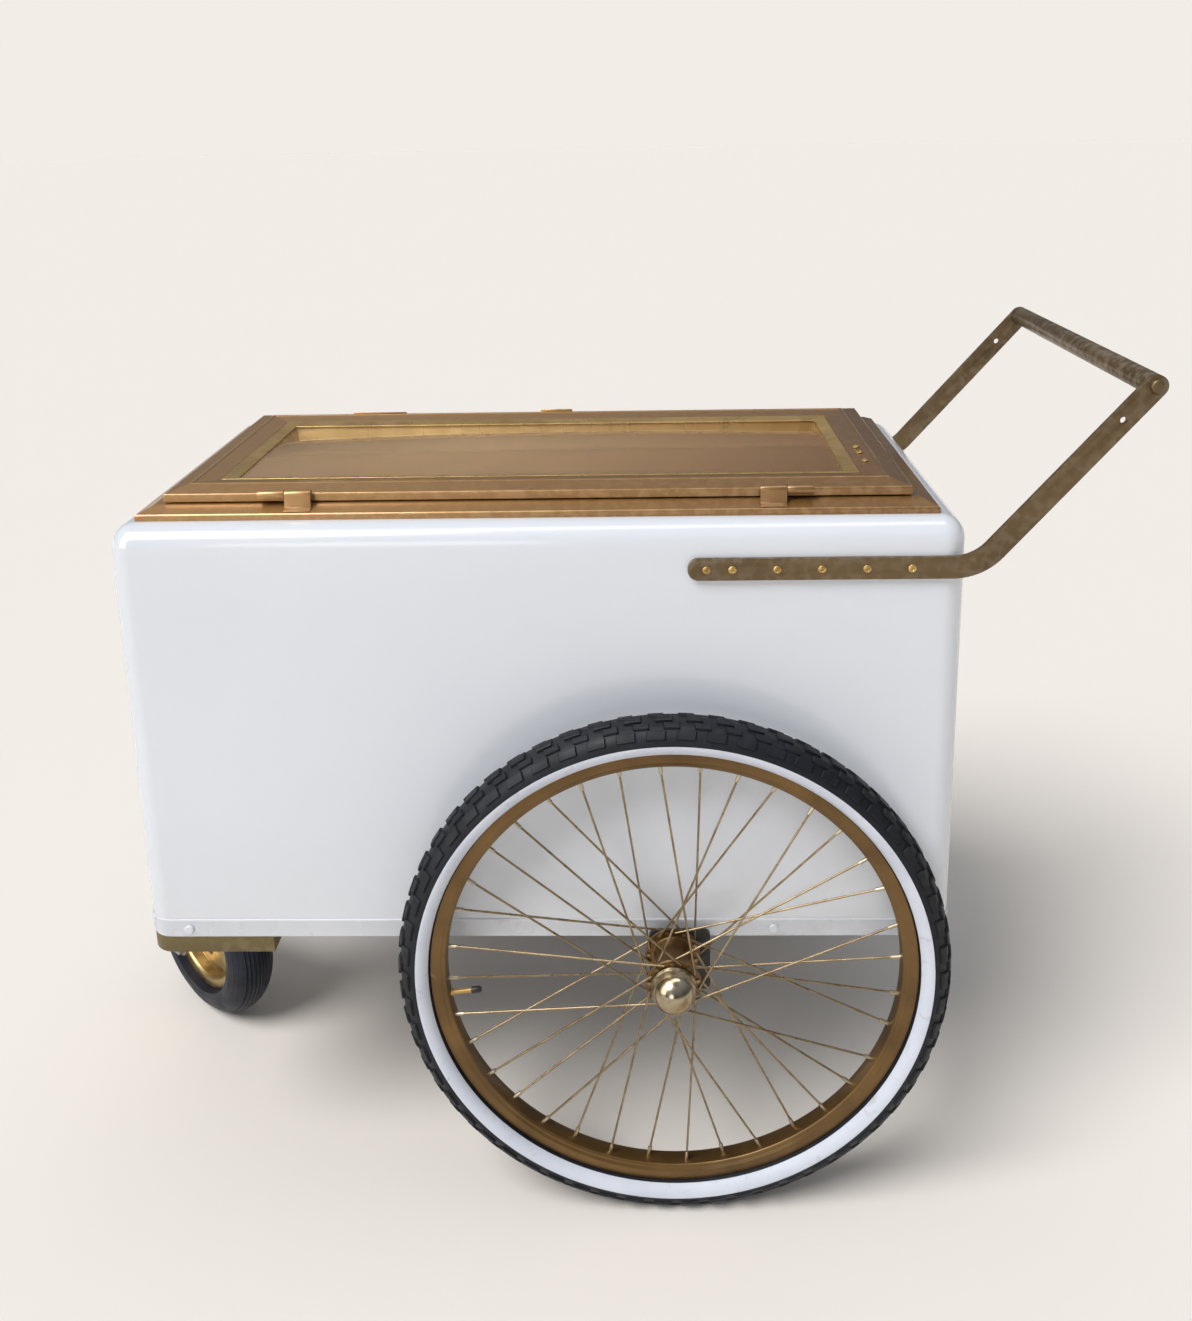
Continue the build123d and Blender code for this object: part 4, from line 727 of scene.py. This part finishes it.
BASE_LOW, BASE_HIGH = BODY_TOP, span("base_rail_near")[1].z
BASE_DEPTH = 60.0
BASE_SLOPE = 18.0
BASE_EDGE = 8.0
LID_LOW, LID_RIDGE_TOP = span("lid_rail_near")[0].z, span("lid_rail_near")[1].z
LID_EDGE_TOP = middle("hinge_pins").z
LID_RIDGE = 26.0
LID_RAIL = 52.0
LID_LEDGE = 12.0
GLASS_LOW, GLASS_HIGH = span("lid_glass")[0].z, span("lid_glass")[1].z
LID_INNER_TOP = span("glazing_bead")[1].z

base_profile = [
    (0, BASE_LOW, 0.3),
    (0, BASE_LOW + BASE_EDGE - 1.6, 0.5),
    (1.4, BASE_LOW + BASE_EDGE + 0.1, 0.9),
    (3.0, BASE_LOW + BASE_EDGE + 0.5, 0.8),
    (BASE_SLOPE, BASE_HIGH, 3.0),
    (BASE_DEPTH, BASE_HIGH, 0.8),
    (BASE_DEPTH, BASE_LOW, 0.3),
]
lid_profile = [
    (0, LID_LOW, 0.8),
    (0, LID_EDGE_TOP - 0.6, 1.4),
    (2.6, LID_EDGE_TOP + 0.5, 1.6),
    (LID_RIDGE - 3.2, LID_RIDGE_TOP - 1.0, 1.0),
    (LID_RIDGE - 2.0, LID_RIDGE_TOP, 0.7),
    (LID_RIDGE + 0.6, LID_RIDGE_TOP, 0.7),
    (LID_RIDGE + 1.8, LID_RIDGE_TOP - 1.3, 0.8),
    (LID_RAIL - 2.0, LID_INNER_TOP + 0.1, 1.2),
    (LID_RAIL, LID_INNER_TOP - 0.9, 0.6),
    (LID_RAIL, GLASS_LOW, 0.3),
    (LID_RAIL + LID_LEDGE, GLASS_LOW, 0.4),
    (LID_RAIL + LID_LEDGE, LID_LOW, 0.4),
]
mouldings("base_rail", base_profile, 1.0)
mouldings("lid_rail", lid_profile, 1.0)


def glazing_frame():
    """Brass bead holding the pane: a flat, a bevel down to the glass and a fine lip."""
    low, high = span("glazing_bead")
    depth = 16.0
    profile = eased(
        [
            (0, GLASS_HIGH, 0.2),
            (0, LID_INNER_TOP - 0.2, 0.5),
            (1.6, LID_INNER_TOP, 0.5),
            (depth * 0.45, LID_INNER_TOP - 1.4, 1.2),
            (depth - 1.6, GLASS_HIGH + 1.9, 0.7),
            (depth - 0.2, GLASS_HIGH + 1.5, 0.6),
            (depth, GLASS_HIGH, 0.2),
        ],
        0.6,
    )
    x, y = (low.x + high.x) / 2, (low.y + high.y) / 2
    half_x, half_y = (high.x - low.x) / 2, (high.y - low.y) / 2
    bm = bmesh.new()
    rings = []
    for inwards, z in profile:
        dx, dy = half_x - inwards, half_y - inwards
        corners = ((-1, -1), (1, -1), (1, 1), (-1, 1))
        rings.append([Vector((x + sx * dx, y + sy * dy, z)) for sx, sy in corners])
    skin(bm, rings, close_ends=True)
    stand_in("glazing_bead", "mitred", bm, sharp=30)


glazing_frame()
glass = eased_copy("lid_glass", 0.5)
glass.visible_shadow = False
eased_copy("lid_gasket", 0.5)

# --------------------------------------------------------------- hinges and furniture
POLE = 0.02  # smallest radius, where a turned end closes on its axis
SPIN_STEP = 2.4  # each screw's cross stands this much further round, in radians

eased_copy("hinge_lid_leaves", 0.35)
eased_copy("hinge_base_leaves", 0.35)
eased_copy("hinge_pins", 0.4)
eased_copy("lid_pull", 0.7)
eased_copy("lid_stop", 0.7)


def cross_screw(bm, seat, outwards, radius, height, spin, recess=0.62, slot_half=0.11):
    """Domed screw head with a cross recess, its underside resting on seat."""
    outwards = Vector(outwards).normalized()
    first, second = turn_frame(outwards)
    segments, steps = 48, 14

    def surface(distance, angle):
        dome = height * sqrt(max(0.0, 1 - 0.82 * (distance / radius) ** 2))
        u = distance * cos(angle - spin) / radius
        v = distance * sin(angle - spin) / radius
        wing = min(max(abs(u), abs(v)) / recess, 1.0)
        arm = min(abs(u), abs(v))
        depth = 0.75 * height * max(0.0, 1 - wing**3) if arm < slot_half else 0.0
        return dome - depth

    rings = []
    for step in range(1, steps + 1):
        distance = radius * step / steps
        ring = []
        for index in range(segments):
            angle = 2 * pi * index / segments
            flat = first * cos(angle) + second * sin(angle)
            ring.append(seat + flat * distance + outwards * surface(distance, angle))
        rings.append(ring)
    rim = []
    for index in range(segments):
        angle = 2 * pi * index / segments
        rim.append(seat + (first * cos(angle) + second * sin(angle)) * radius)
    rings.append(rim)
    rows, _ = skin(bm, rings)
    hub = bm.verts.new(seat + outwards * surface(0, 0))
    for index in range(segments):
        bm.faces.new((rows[0][index], rows[0][(index + 1) % segments], hub))
    bm.faces.new(rows[-1])


def island_boxes(node):
    """Boxes in mm of a node's separate solids."""
    bm = bmesh.new()
    bm.from_mesh(NODES[node].data)
    bmesh.ops.remove_doubles(bm, verts=bm.verts, dist=0.002 * MM)
    bm.verts.ensure_lookup_table()
    seen = set()
    boxes = []
    for start in bm.verts:
        if start in seen:
            continue
        stack, island = [start], []
        seen.add(start)
        while stack:
            vert = stack.pop()
            island.append(vert.co.copy())
            for edge in vert.link_edges:
                other = edge.other_vert(vert)
                if other not in seen:
                    seen.add(other)
                    stack.append(other)
        low = Vector([min(point[axis] for point in island) for axis in range(3)]) / MM
        high = Vector([max(point[axis] for point in island) for axis in range(3)]) / MM
        boxes.append((low, high))
    bm.free()
    return boxes


def screw_row(node, head_radius, head_height, direction_of):
    """Cross-recess heads for a node of screws, each with its shank behind it."""
    bm = bmesh.new()
    boxes = sorted(island_boxes(node), key=lambda box: (box[0].x, box[0].y))
    point, shank_radius = 1.9, 2.4
    for number, (low, high) in enumerate(boxes):
        outwards, seat, shank = direction_of(low, high)
        cross_screw(bm, seat, outwards, head_radius, head_height, SPIN_STEP * number)
        profile = [(-shank, POLE), (-shank, point), (-shank + 0.6, shank_radius)]
        profile += [(0, shank_radius), (0, POLE)]
        turned(bm, seat, outwards, profile, 16)
    return stand_in(node, "crossed", bm, sharp=38)


def side_screw(low, high):
    """Direction, seat and shank length of a screw that points into the cabinet's side."""
    sign = 1 if (low + high).y > 0 else -1
    tip = high.y if sign > 0 else low.y
    root = low.y if sign > 0 else high.y
    seat = Vector(((low.x + high.x) / 2, tip - sign * SCREW_HEAD_HEIGHT, (low.z + high.z) / 2))
    return (0, sign, 0), seat, abs(tip - root) - SCREW_HEAD_HEIGHT


def lid_screw(low, high):
    seat = Vector(((low.x + high.x) / 2, (low.y + high.y) / 2, high.z - SCREW_HEAD_HEIGHT - 0.4))
    return (-0.13, 0, 1), seat, high.z - low.z - SCREW_HEAD_HEIGHT - 0.6


SCREW_HEAD_RADIUS = 4.6
SCREW_HEAD_HEIGHT = 2.4
screw_row("handle_screws", SCREW_HEAD_RADIUS, SCREW_HEAD_HEIGHT, side_screw)
screw_row("lid_screws", SCREW_HEAD_RADIUS, SCREW_HEAD_HEIGHT, lid_screw)

# -------------------------------------------------------------------------- handle
eased_copy("handle_bar_near", 0.9)
eased_copy("handle_bar_far", 0.9)
eased_copy("handle_tube", 0.5)

# ------------------------------------------------------------------ axle and brackets
eased_copy("axle_nuts_and_washers", 0.5)
eased_copy("axle_bracket_near", 0.8)
eased_copy("axle_bracket_far", 0.8)
eased_copy("frame_bolts", 0.5)


# --------------------------------------------------------------------- road wheels
TYRE_HALF = 27.0
TREAD_DEPTH = 3.2
WHITE_LOW, WHITE_HIGH = 288.7, 303.2
WHITE_FROM_CENTRE, WHITE_WIDE = 11.3, 19.0
TYRE_SEGMENTS = 240
TYRE_HEIGHT = 39.4
BEAD_HALF, BEAD_INNER = 11.2, 8.0
TREAD_PITCHES = 58
# Half length round the tyre, inner and outer distance across, height and skew of a block.
SHOULDER_BLOCK = (11.0, 19.5, 29.0, 2.6, 0.12)
MIDDLE_BLOCK = (9.0, 9.5, 17.0, TREAD_DEPTH - 0.2, -0.1)
CENTRE_BLOCK = (9.5, -6.5, 6.5, TREAD_DEPTH)


def arc_points(start, through, finish, steps):
    """Points on the circle through three points, from start to finish."""
    ax, ay = start
    bx, by = through
    cx, cy = finish
    a, b, c = ax**2 + ay**2, bx**2 + by**2, cx**2 + cy**2
    d = 2 * (ax * (by - cy) + bx * (cy - ay) + cx * (ay - by))
    ux = (a * (by - cy) + b * (cy - ay) + c * (ay - by)) / d
    uy = (a * (cx - bx) + b * (ax - cx) + c * (bx - ax)) / d
    centre = Vector((ux, uy))
    first, last = Vector(start) - centre, Vector(finish) - centre
    sweep = first.angle_signed(last)
    return [centre + Matrix.Rotation(-sweep * step / steps, 2) @ first for step in range(steps + 1)]


def casing_outline():
    """Outside of the casing from the bead to the crown, as (across, radius) points."""
    seat = RIM_RADIUS + 0.4
    wide = WHEEL_RADIUS - TYRE_HEIGHT / 2 - 1.7
    crown = WHEEL_RADIUS - TREAD_DEPTH
    widest = (TYRE_HALF - 0.8, wide)
    lower = arc_points((BEAD_HALF, seat), (TYRE_HALF * 0.87, seat + 6.1), widest, 12)
    upper = arc_points(widest, (TYRE_HALF * 0.66, crown - 5.4), (0, crown), 16)
    return lower + upper[1:]


CASING = casing_outline()


def casing_point(distance):
    """Point and outward direction on the casing, a distance along it from the crown."""
    travelled = 0.0
    points = list(reversed(CASING))
    for here, after in zip(points, points[1:]):
        step = (after - here).length
        if travelled + step >= distance:
            spot = here + (after - here) * (distance - travelled) / step
            along = (after - here).normalized()
            return spot, Vector((-along.y, along.x))
        travelled += step
    return points[-1], Vector((1, 0))


def tread_block(bm, centre, axis, angle, half_length, inner, outer, height, skew=0.0):
    """Chamfered block on the casing; inner and outer are distances across from the crown."""
    first, second = turn_frame(axis)
    axis = Vector(axis).normalized()
    across_steps, along_steps = 3, 2
    chamfer = 0.7

    def spot(distance, turn, lift):
        side = 1 if distance >= 0 else -1
        flat, normal = casing_point(abs(distance))
        point = flat + normal * lift
        theta = angle + turn / WHEEL_RADIUS
        outwards = first * cos(theta) + second * sin(theta)
        return Vector(centre) + axis * (side * point.x) + outwards * point.y

    def ring(inset, lift):
        low, high = inner + inset, outer - inset
        half = half_length - inset
        corners = [(low + (high - low) * s / across_steps, -half) for s in range(across_steps)]
        corners += [(high, -half + 2 * half * s / along_steps) for s in range(along_steps)]
        corners += [(high - (high - low) * s / across_steps, half) for s in range(across_steps)]
        corners += [(low, half - 2 * half * s / along_steps) for s in range(along_steps)]
        return [spot(d, t + skew * (d - inner), lift) for d, t in corners]

    rings = [ring(-0.5, -0.6), ring(0, height - chamfer), ring(chamfer, height)]
    rows, _ = skin(bm, rings)
    top = rows[-1]
    count = len(top)
    half_turn = along_steps + across_steps
    for index in range(across_steps):
        left, right = top[index], top[index + 1]
        mirror_left = top[2 * across_steps + along_steps - index]
        mirror_right = top[2 * across_steps + along_steps - index - 1]
        if index == 0:
            bm.faces.new((left, right, mirror_right, mirror_left, top[count - 1]))
        elif index == across_steps - 1:
            bm.faces.new((left, right, top[half_turn - 1], mirror_right, mirror_left))
        else:
            bm.faces.new((left, right, mirror_right, mirror_left))


def tyre_skin(side_name):
    """Casing with whitewall bands and a knobby tread of five rows."""
    centre = middle(f"tyre_{side_name}")
    axis = Vector((0, 1, 0))
    bm = bmesh.new()
    thick = 3.4
    white_step = 0.35
    outer = []
    for point in CASING:
        band = WHITE_LOW < point.y < WHITE_HIGH and point.x > 10
        outer.append((point.x + (white_step if band else 0), point.y))
    inner = [
        (BEAD_INNER, RIM_RADIUS + 1.6),
        (TYRE_HALF - thick - 3.5, RIM_RADIUS + 8.6),
        (TYRE_HALF - thick - 0.8, WHEEL_RADIUS - 21.4),
        (TYRE_HALF * 0.6, WHEEL_RADIUS - 13.0),
        (0, WHEEL_RADIUS - TREAD_DEPTH - thick),
    ]
    bead = [(BEAD_INNER, RIM_RADIUS - 6), (BEAD_HALF, RIM_RADIUS - 6)]
    half_profile = bead + outer
    mirrored = [(-x, y) for x, y in reversed(half_profile[:-1])]
    inside = [(-x, y) for x, y in inner] + [(x, y) for x, y in reversed(inner[:-1])]
    profile = half_profile + mirrored + inside
    _, faces = turned(bm, centre, axis, profile, TYRE_SEGMENTS)
    for face in faces:
        middle_point = face.calc_center_median() - centre
        radius = hypot(middle_point.x, middle_point.z)
        outer_side = abs(middle_point.y) > WHITE_FROM_CENTRE
        if outer_side and WHITE_LOW < radius < WHITE_HIGH:
            face.normal_update()
            if face.normal.y * middle_point.y > 0 or abs(middle_point.y) > WHITE_WIDE:
                face.material_index = 1
    pitch = 2 * pi / TREAD_PITCHES
    for number in range(TREAD_PITCHES):
        angle = number * pitch
        for side in (-1, 1):
            shoulder = angle + (pitch / 2 if side > 0 else 0)
            flip = Vector((0, side, 0))
            turn = shoulder if side > 0 else -shoulder
            tread_block(bm, centre, flip, turn, *SHOULDER_BLOCK)
            tread_block(bm, centre, flip, turn + side * pitch / 2, *MIDDLE_BLOCK)
        tread_block(bm, centre, axis, angle + pitch / 4, *CENTRE_BLOCK)
    rubbers = [MATERIALS["tyre_rubber"], WHITEWALL]
    stand_in(f"tyre_{side_name}", "treaded", bm, rubbers, sharp=40)


def rim_skin(side_name):
    """Rim hoop: side walls with two fine ridges and a crowned inner face."""
    centre = middle(f"rim_{side_name}")
    half = 14.0
    low = RIM_RADIUS - RIM_DEPTH
    outer = [
        (half, RIM_RADIUS, 0.6),
        (half, low + 10.4, 0.5),
        (half - 0.3, low + 9.2, 0.4),
        (half, low + 8.2, 0.5),
        (half - 0.9, low + 6.8, 0.5),
        (half - 2.2, low + 4.6, 0.4),
        (half - 2.3, low + 3.4, 0.5),
        (half - 4.2, low + 1.0, 0.8),
    ]
    inner = [
        (half - 2.5, RIM_RADIUS, 0.5),
        (half - 2.5, low + 12.0, 2.0),
        (half - 6.5, low + 8.0, 2.0),
    ]
    profile = outer + [(0, low, 4.0)] + [(-x, y, r) for x, y, r in reversed(outer)]
    profile += [(-x, y, r) for x, y, r in inner] + list(reversed(inner))
    bm = bmesh.new()
    outline = [tuple(point) for point in eased(profile, 0.5)]
    turned(bm, centre, (0, 1, 0), outline, TYRE_SEGMENTS)
    stand_in(f"rim_{side_name}", "ridged", bm, sharp=32)


def hub_skin(side_name, side):
    """Hub shell with rounded flanges, waisted barrel and turned ends."""
    centre = Vector((axle_middle.x, side * TRACK_HALF, axle_middle.z))
    points = [
        (-37.0, 17.5, 0.2),
        (-37.0, 21.5, 0.8),
        (-29.5, 21.5, 1.2),
        (-29.5, 33.0, 1.2),
        (-26.5, 33.0, 1.2),
        (-26.5, 22.5, 1.6),
        (-18.0, 19.5, 4.0),
        (18.0, 19.5, 4.0),
        (26.5, 22.5, 1.6),
        (26.5, 33.0, 1.2),
        (29.5, 33.0, 1.2),
        (29.5, 24.2, 0.6),
        (37.0, 24.2, 0.6),
        (37.0, 17.5, 0.2),
        (25.2, 17.5, 0.2),
        (25.2, 13.5, 0.2),
        (-25.2, 13.5, 0.2),
        (-25.2, 17.5, 0.2),
    ]
    profile = [(side * along, radius) for along, radius in eased(points, 0.5)]
    bm = bmesh.new()
    turned(bm, centre, (0, 1, 0), profile, 72)
    stand_in(f"hub_{side_name}", "turned", bm)


def cap_skin(side_name, side):
    """Domed dust cap with a rolled skirt and two turned grooves."""
    centre = Vector((axle_middle.x, side * TRACK_HALF, axle_middle.z))
    radius = 26.5
    wall = 1.8
    base = 38.0
    skirt = base - 6.0
    outside = [
        (skirt, 24.3, 0.3),
        (skirt, radius - 0.3, 0.5),
        (skirt + 1.4, radius, 0.4),
        (skirt + 1.9, radius - 0.9, 0.3),
        (skirt + 2.5, radius - 0.9, 0.3),
        (skirt + 3.0, radius, 0.4),
        (skirt + 4.2, radius, 0.4),
        (skirt + 4.7, radius - 0.9, 0.3),
        (skirt + 5.3, radius - 0.9, 0.3),
    ]
    profile = [tuple(point) for point in eased(outside, 0.4, closed=False)]
    inner = radius - wall
    over = [radians(90 * step / 24) for step in range(25)]
    under = [radians(90 * step / 10) for step in range(10, -1, -1)]
    profile += [(base + radius * sin(a), radius * cos(a)) for a in over]
    profile += [(base + inner * sin(a), inner * cos(a)) for a in under]
    profile = [(side * along, max(r, 0.01)) for along, r in profile]
    bm = bmesh.new()
    turned(bm, centre, (0, 1, 0), profile, 72)
    stand_in(f"dust_cap_{side_name}", "domed", bm)


def valve_skin(side_name):
    """Brass valve stem with a collar and threads, and its black cap."""
    node = f"valve_{side_name}"
    boxes = sorted(island_boxes(node), key=lambda box: (box[1] - box[0]).length)
    cap_middle = (boxes[0][0] + boxes[0][1]) / 2
    stem_middle = (boxes[-1][0] + boxes[-1][1]) / 2
    axis = (cap_middle - stem_middle).normalized()
    wheel = Vector((axle_middle.x, stem_middle.y, axle_middle.z))
    rim_inside = wheel - axis * (RIM_RADIUS - RIM_DEPTH)
    length = 25.0
    wide, root, collar = 3.2, 2.85, 4.3
    threads, pitch = 14, 1.5
    stem = [(-20.0, POLE), (-20.0, wide), (0.3, wide)]
    stem += [(0.3, collar), (2.2, collar), (2.4, wide)]
    for thread in range(threads):
        along = 3.4 + thread * pitch
        stem += [(along, wide), (along + 0.4, root), (along + 0.9, root), (along + 1.2, wide)]
    stem += [(length, 3.0), (length, POLE)]
    cap = [(length, POLE), (length, 4.0), (length + 1.0, 4.1), (length + 9.6, 3.9)]
    cap += [(length + 11.4, 3.0), (length + 12.0, 1.4), (length + 12.0, POLE)]
    bm = bmesh.new()
    turned(bm, rim_inside, axis, stem, 24)
    turned(bm, rim_inside, axis, cap, 24, material=1)
    stand_in(node, "threaded", bm, [MATERIALS["brass"], BLACK_PLASTIC])


for side_name, side in SIDES.items():
    tyre_skin(side_name)
    rim_skin(side_name)
    hub_skin(side_name, side)
    cap_skin(side_name, side)
    valve_skin(side_name)

# ---------------------------------------------------------------- board and caster
eased_copy("caster_board", 1.6, segments=3)
eased_copy("caster_plate", 0.6)
eased_copy("caster_fork", 0.8)
eased_copy("caster_kingpin", 0.6)
eased_copy("caster_axle", 0.6)

caster_spin = next(joint for joint in frame["joints"] if joint["name"] == "caster_wheel_spin")
CASTER_AXIS = Vector(caster_spin["axis"]).normalized()
CASTER_CENTRE = middle("caster_rim")
CASTER_RADIUS = CASTER_CENTRE.z
CASTER_HALF = 34.5
CASTER_RIM = 84.0


def caster_tyre_skin():
    """Balloon tyre with concentric sidewall ribs and grooves round its tread."""
    seat = CASTER_RIM + 0.4
    section = CASTER_RADIUS - CASTER_HALF

    def bulge(degrees, lift=0.0):
        angle = radians(degrees)
        return ((CASTER_HALF + lift) * sin(angle), section + (CASTER_HALF + lift) * cos(angle))

    side = []
    ribs = (46, 58, 72, 88)
    for degrees in range(2, 104, 2):
        lift = -0.55
        if any(abs(degrees - rib) <= 1 for rib in ribs):
            lift = -0.05
        if degrees < 40 and degrees % 10 in (4, 6):
            lift = -1.9
        elif degrees < 40:
            lift = 0.0
        side.append(bulge(degrees, lift))
    side = [point for point in side if point[1] > seat + 0.6]
    foot = [(17.7, seat), (17.7, CASTER_RIM - 7.6)]
    half = side + foot
    profile = [(-x, y) for x, y in reversed(half)] + [(0.0, section + CASTER_HALF)] + half
    bm = bmesh.new()
    turned(bm, CASTER_CENTRE, CASTER_AXIS, profile, 144)
    stand_in("caster_tyre", "ribbed", bm, [CASTER_RUBBER], sharp=50)


caster_tyre_skin()
eased_copy("caster_rim", 0.6)
eased_copy("caster_valve", 0.4, angle=50)

# ------------------------------------------------------------- stage, light, camera
STAGE_RADIUS = 60000.0
STAGE_SIDES = 96
FLOOR_TONE = (0.925, 0.872, 0.806, 1.0)
FLOOR_LIGHT = 0.96  # light wanted on the open floor, so that it matches the backdrop
SKY_HORIZON, SKY_ZENITH = 0.06, 0.5
KEY_FROM = (-1450, -1350, 2600)


def pale_floor():
    made = Finish("studio_floor", specular=0.0, rough=1.0)
    return made.colour(FLOOR_TONE).material


def stage():
    bm = bmesh.new()
    angles = [2 * pi * step / STAGE_SIDES for step in range(STAGE_SIDES)]
    rim = [Vector((STAGE_RADIUS * cos(a), STAGE_RADIUS * sin(a), 0)) for a in angles]
    bm.faces.new([bm.verts.new(point) for point in rim])
    bmesh.ops.scale(bm, vec=(MM, MM, MM), verts=bm.verts)
    mesh = bpy.data.meshes.new("floor")
    bm.to_mesh(mesh)
    bm.free()
    mesh.materials.append(pale_floor())
    floor = bpy.data.objects.new("floor", mesh)
    bpy.context.scene.collection.objects.link(floor)


def aim(thing, place, target):
    thing.location = Vector(place) * MM
    thing.rotation_euler = (Vector(target) - Vector(place)).to_track_quat("-Z", "Y").to_euler()


def soft_box(name, place, target, width, height, power):
    """Rectangular light that only shows in reflections; power in watts."""
    data = bpy.data.lights.new(name, "AREA")
    data.shape = "RECTANGLE"
    data.size, data.size_y = width * MM, height * MM
    data.energy = power
    lamp = bpy.data.objects.new(name, data)
    bpy.context.scene.collection.objects.link(lamp)
    lamp.visible_diffuse = False
    aim(lamp, place, target)


def sun(name, direction_from, strength, softness):
    data = bpy.data.lights.new(name, "SUN")
    data.energy = strength
    data.angle = radians(softness)
    lamp = bpy.data.objects.new(name, data)
    bpy.context.scene.collection.objects.link(lamp)
    aim(lamp, direction_from, (0, 0, 0))


def studio_world():
    """Sky light that grows from the horizon to overhead. The camera sees the plain
    backdrop tone in its place."""
    world = bpy.data.worlds.new("studio")
    bpy.context.scene.world = world
    world.use_nodes = True
    tree = world.node_tree
    light = tree.nodes["Background"]
    light.inputs["Color"].default_value = (0.96, 0.99, 1.05, 1.0)
    direction = tree.nodes.new("ShaderNodeTexCoord")
    split = tree.nodes.new("ShaderNodeSeparateXYZ")
    climb = tree.nodes.new("ShaderNodeMapRange")
    climb.inputs["To Min"].default_value = SKY_HORIZON
    climb.inputs["To Max"].default_value = SKY_ZENITH
    tree.links.new(direction.outputs["Generated"], split.inputs[0])
    tree.links.new(split.outputs["Z"], climb.inputs["Value"])
    tree.links.new(climb.outputs[0], light.inputs["Strength"])
    backdrop = tree.nodes.new("ShaderNodeBackground")
    backdrop.inputs["Color"].default_value = shade(242, 237, 231)
    seen = tree.nodes.new("ShaderNodeLightPath")
    mix = tree.nodes.new("ShaderNodeMixShader")
    tree.links.new(seen.outputs["Is Camera Ray"], mix.inputs[0])
    tree.links.new(light.outputs[0], mix.inputs[1])
    tree.links.new(backdrop.outputs[0], mix.inputs[2])
    tree.links.new(mix.outputs[0], tree.nodes["World Output"].inputs["Surface"])


def photo_camera():
    """Camera at standing height in front of the near side, looking slightly down."""
    place = Vector((98.5, -1550.0, 1308.4))
    yaw, pitch, roll = -0.0255, 0.2269, 0.0183
    forward = Vector((sin(yaw) * cos(pitch), cos(yaw) * cos(pitch), -sin(pitch)))
    level = Vector((cos(yaw), -sin(yaw), 0))
    down = forward.cross(level)
    right = level * cos(roll) + down * sin(roll)
    up = level * sin(roll) - down * cos(roll)
    data = bpy.data.cameras.new("camera")
    data.sensor_width = 36.0
    data.lens = 33.3
    data.shift_x = -0.0128
    data.shift_y = -0.1955
    camera = bpy.data.objects.new("camera", data)
    facing = Matrix((right, up, -forward)).transposed().to_4x4()
    camera.matrix_world = Matrix.Translation(place * MM) @ facing
    bpy.context.scene.collection.objects.link(camera)
    bpy.context.scene.camera = camera


stage()
studio_world()
key_fall = Vector(KEY_FROM).normalized().z
sky_on_floor = SKY_HORIZON + (SKY_ZENITH - SKY_HORIZON) * 2 / 3
sun("key_sun", KEY_FROM, pi * (FLOOR_LIGHT - sky_on_floor) / key_fall, softness=32)
sun("front_fill", (-500, -2000, 300), 0.25, softness=20)
soft_box("window_left", (-2600, -1900, 1700), (0, 0, 600), 1500, 2200, 45)
soft_box("ceiling_rows", (200, -600, 3200), (0, 0, 600), 2600, 700, 16)
photo_camera()
bpy.context.scene.view_settings.view_transform = "Standard"
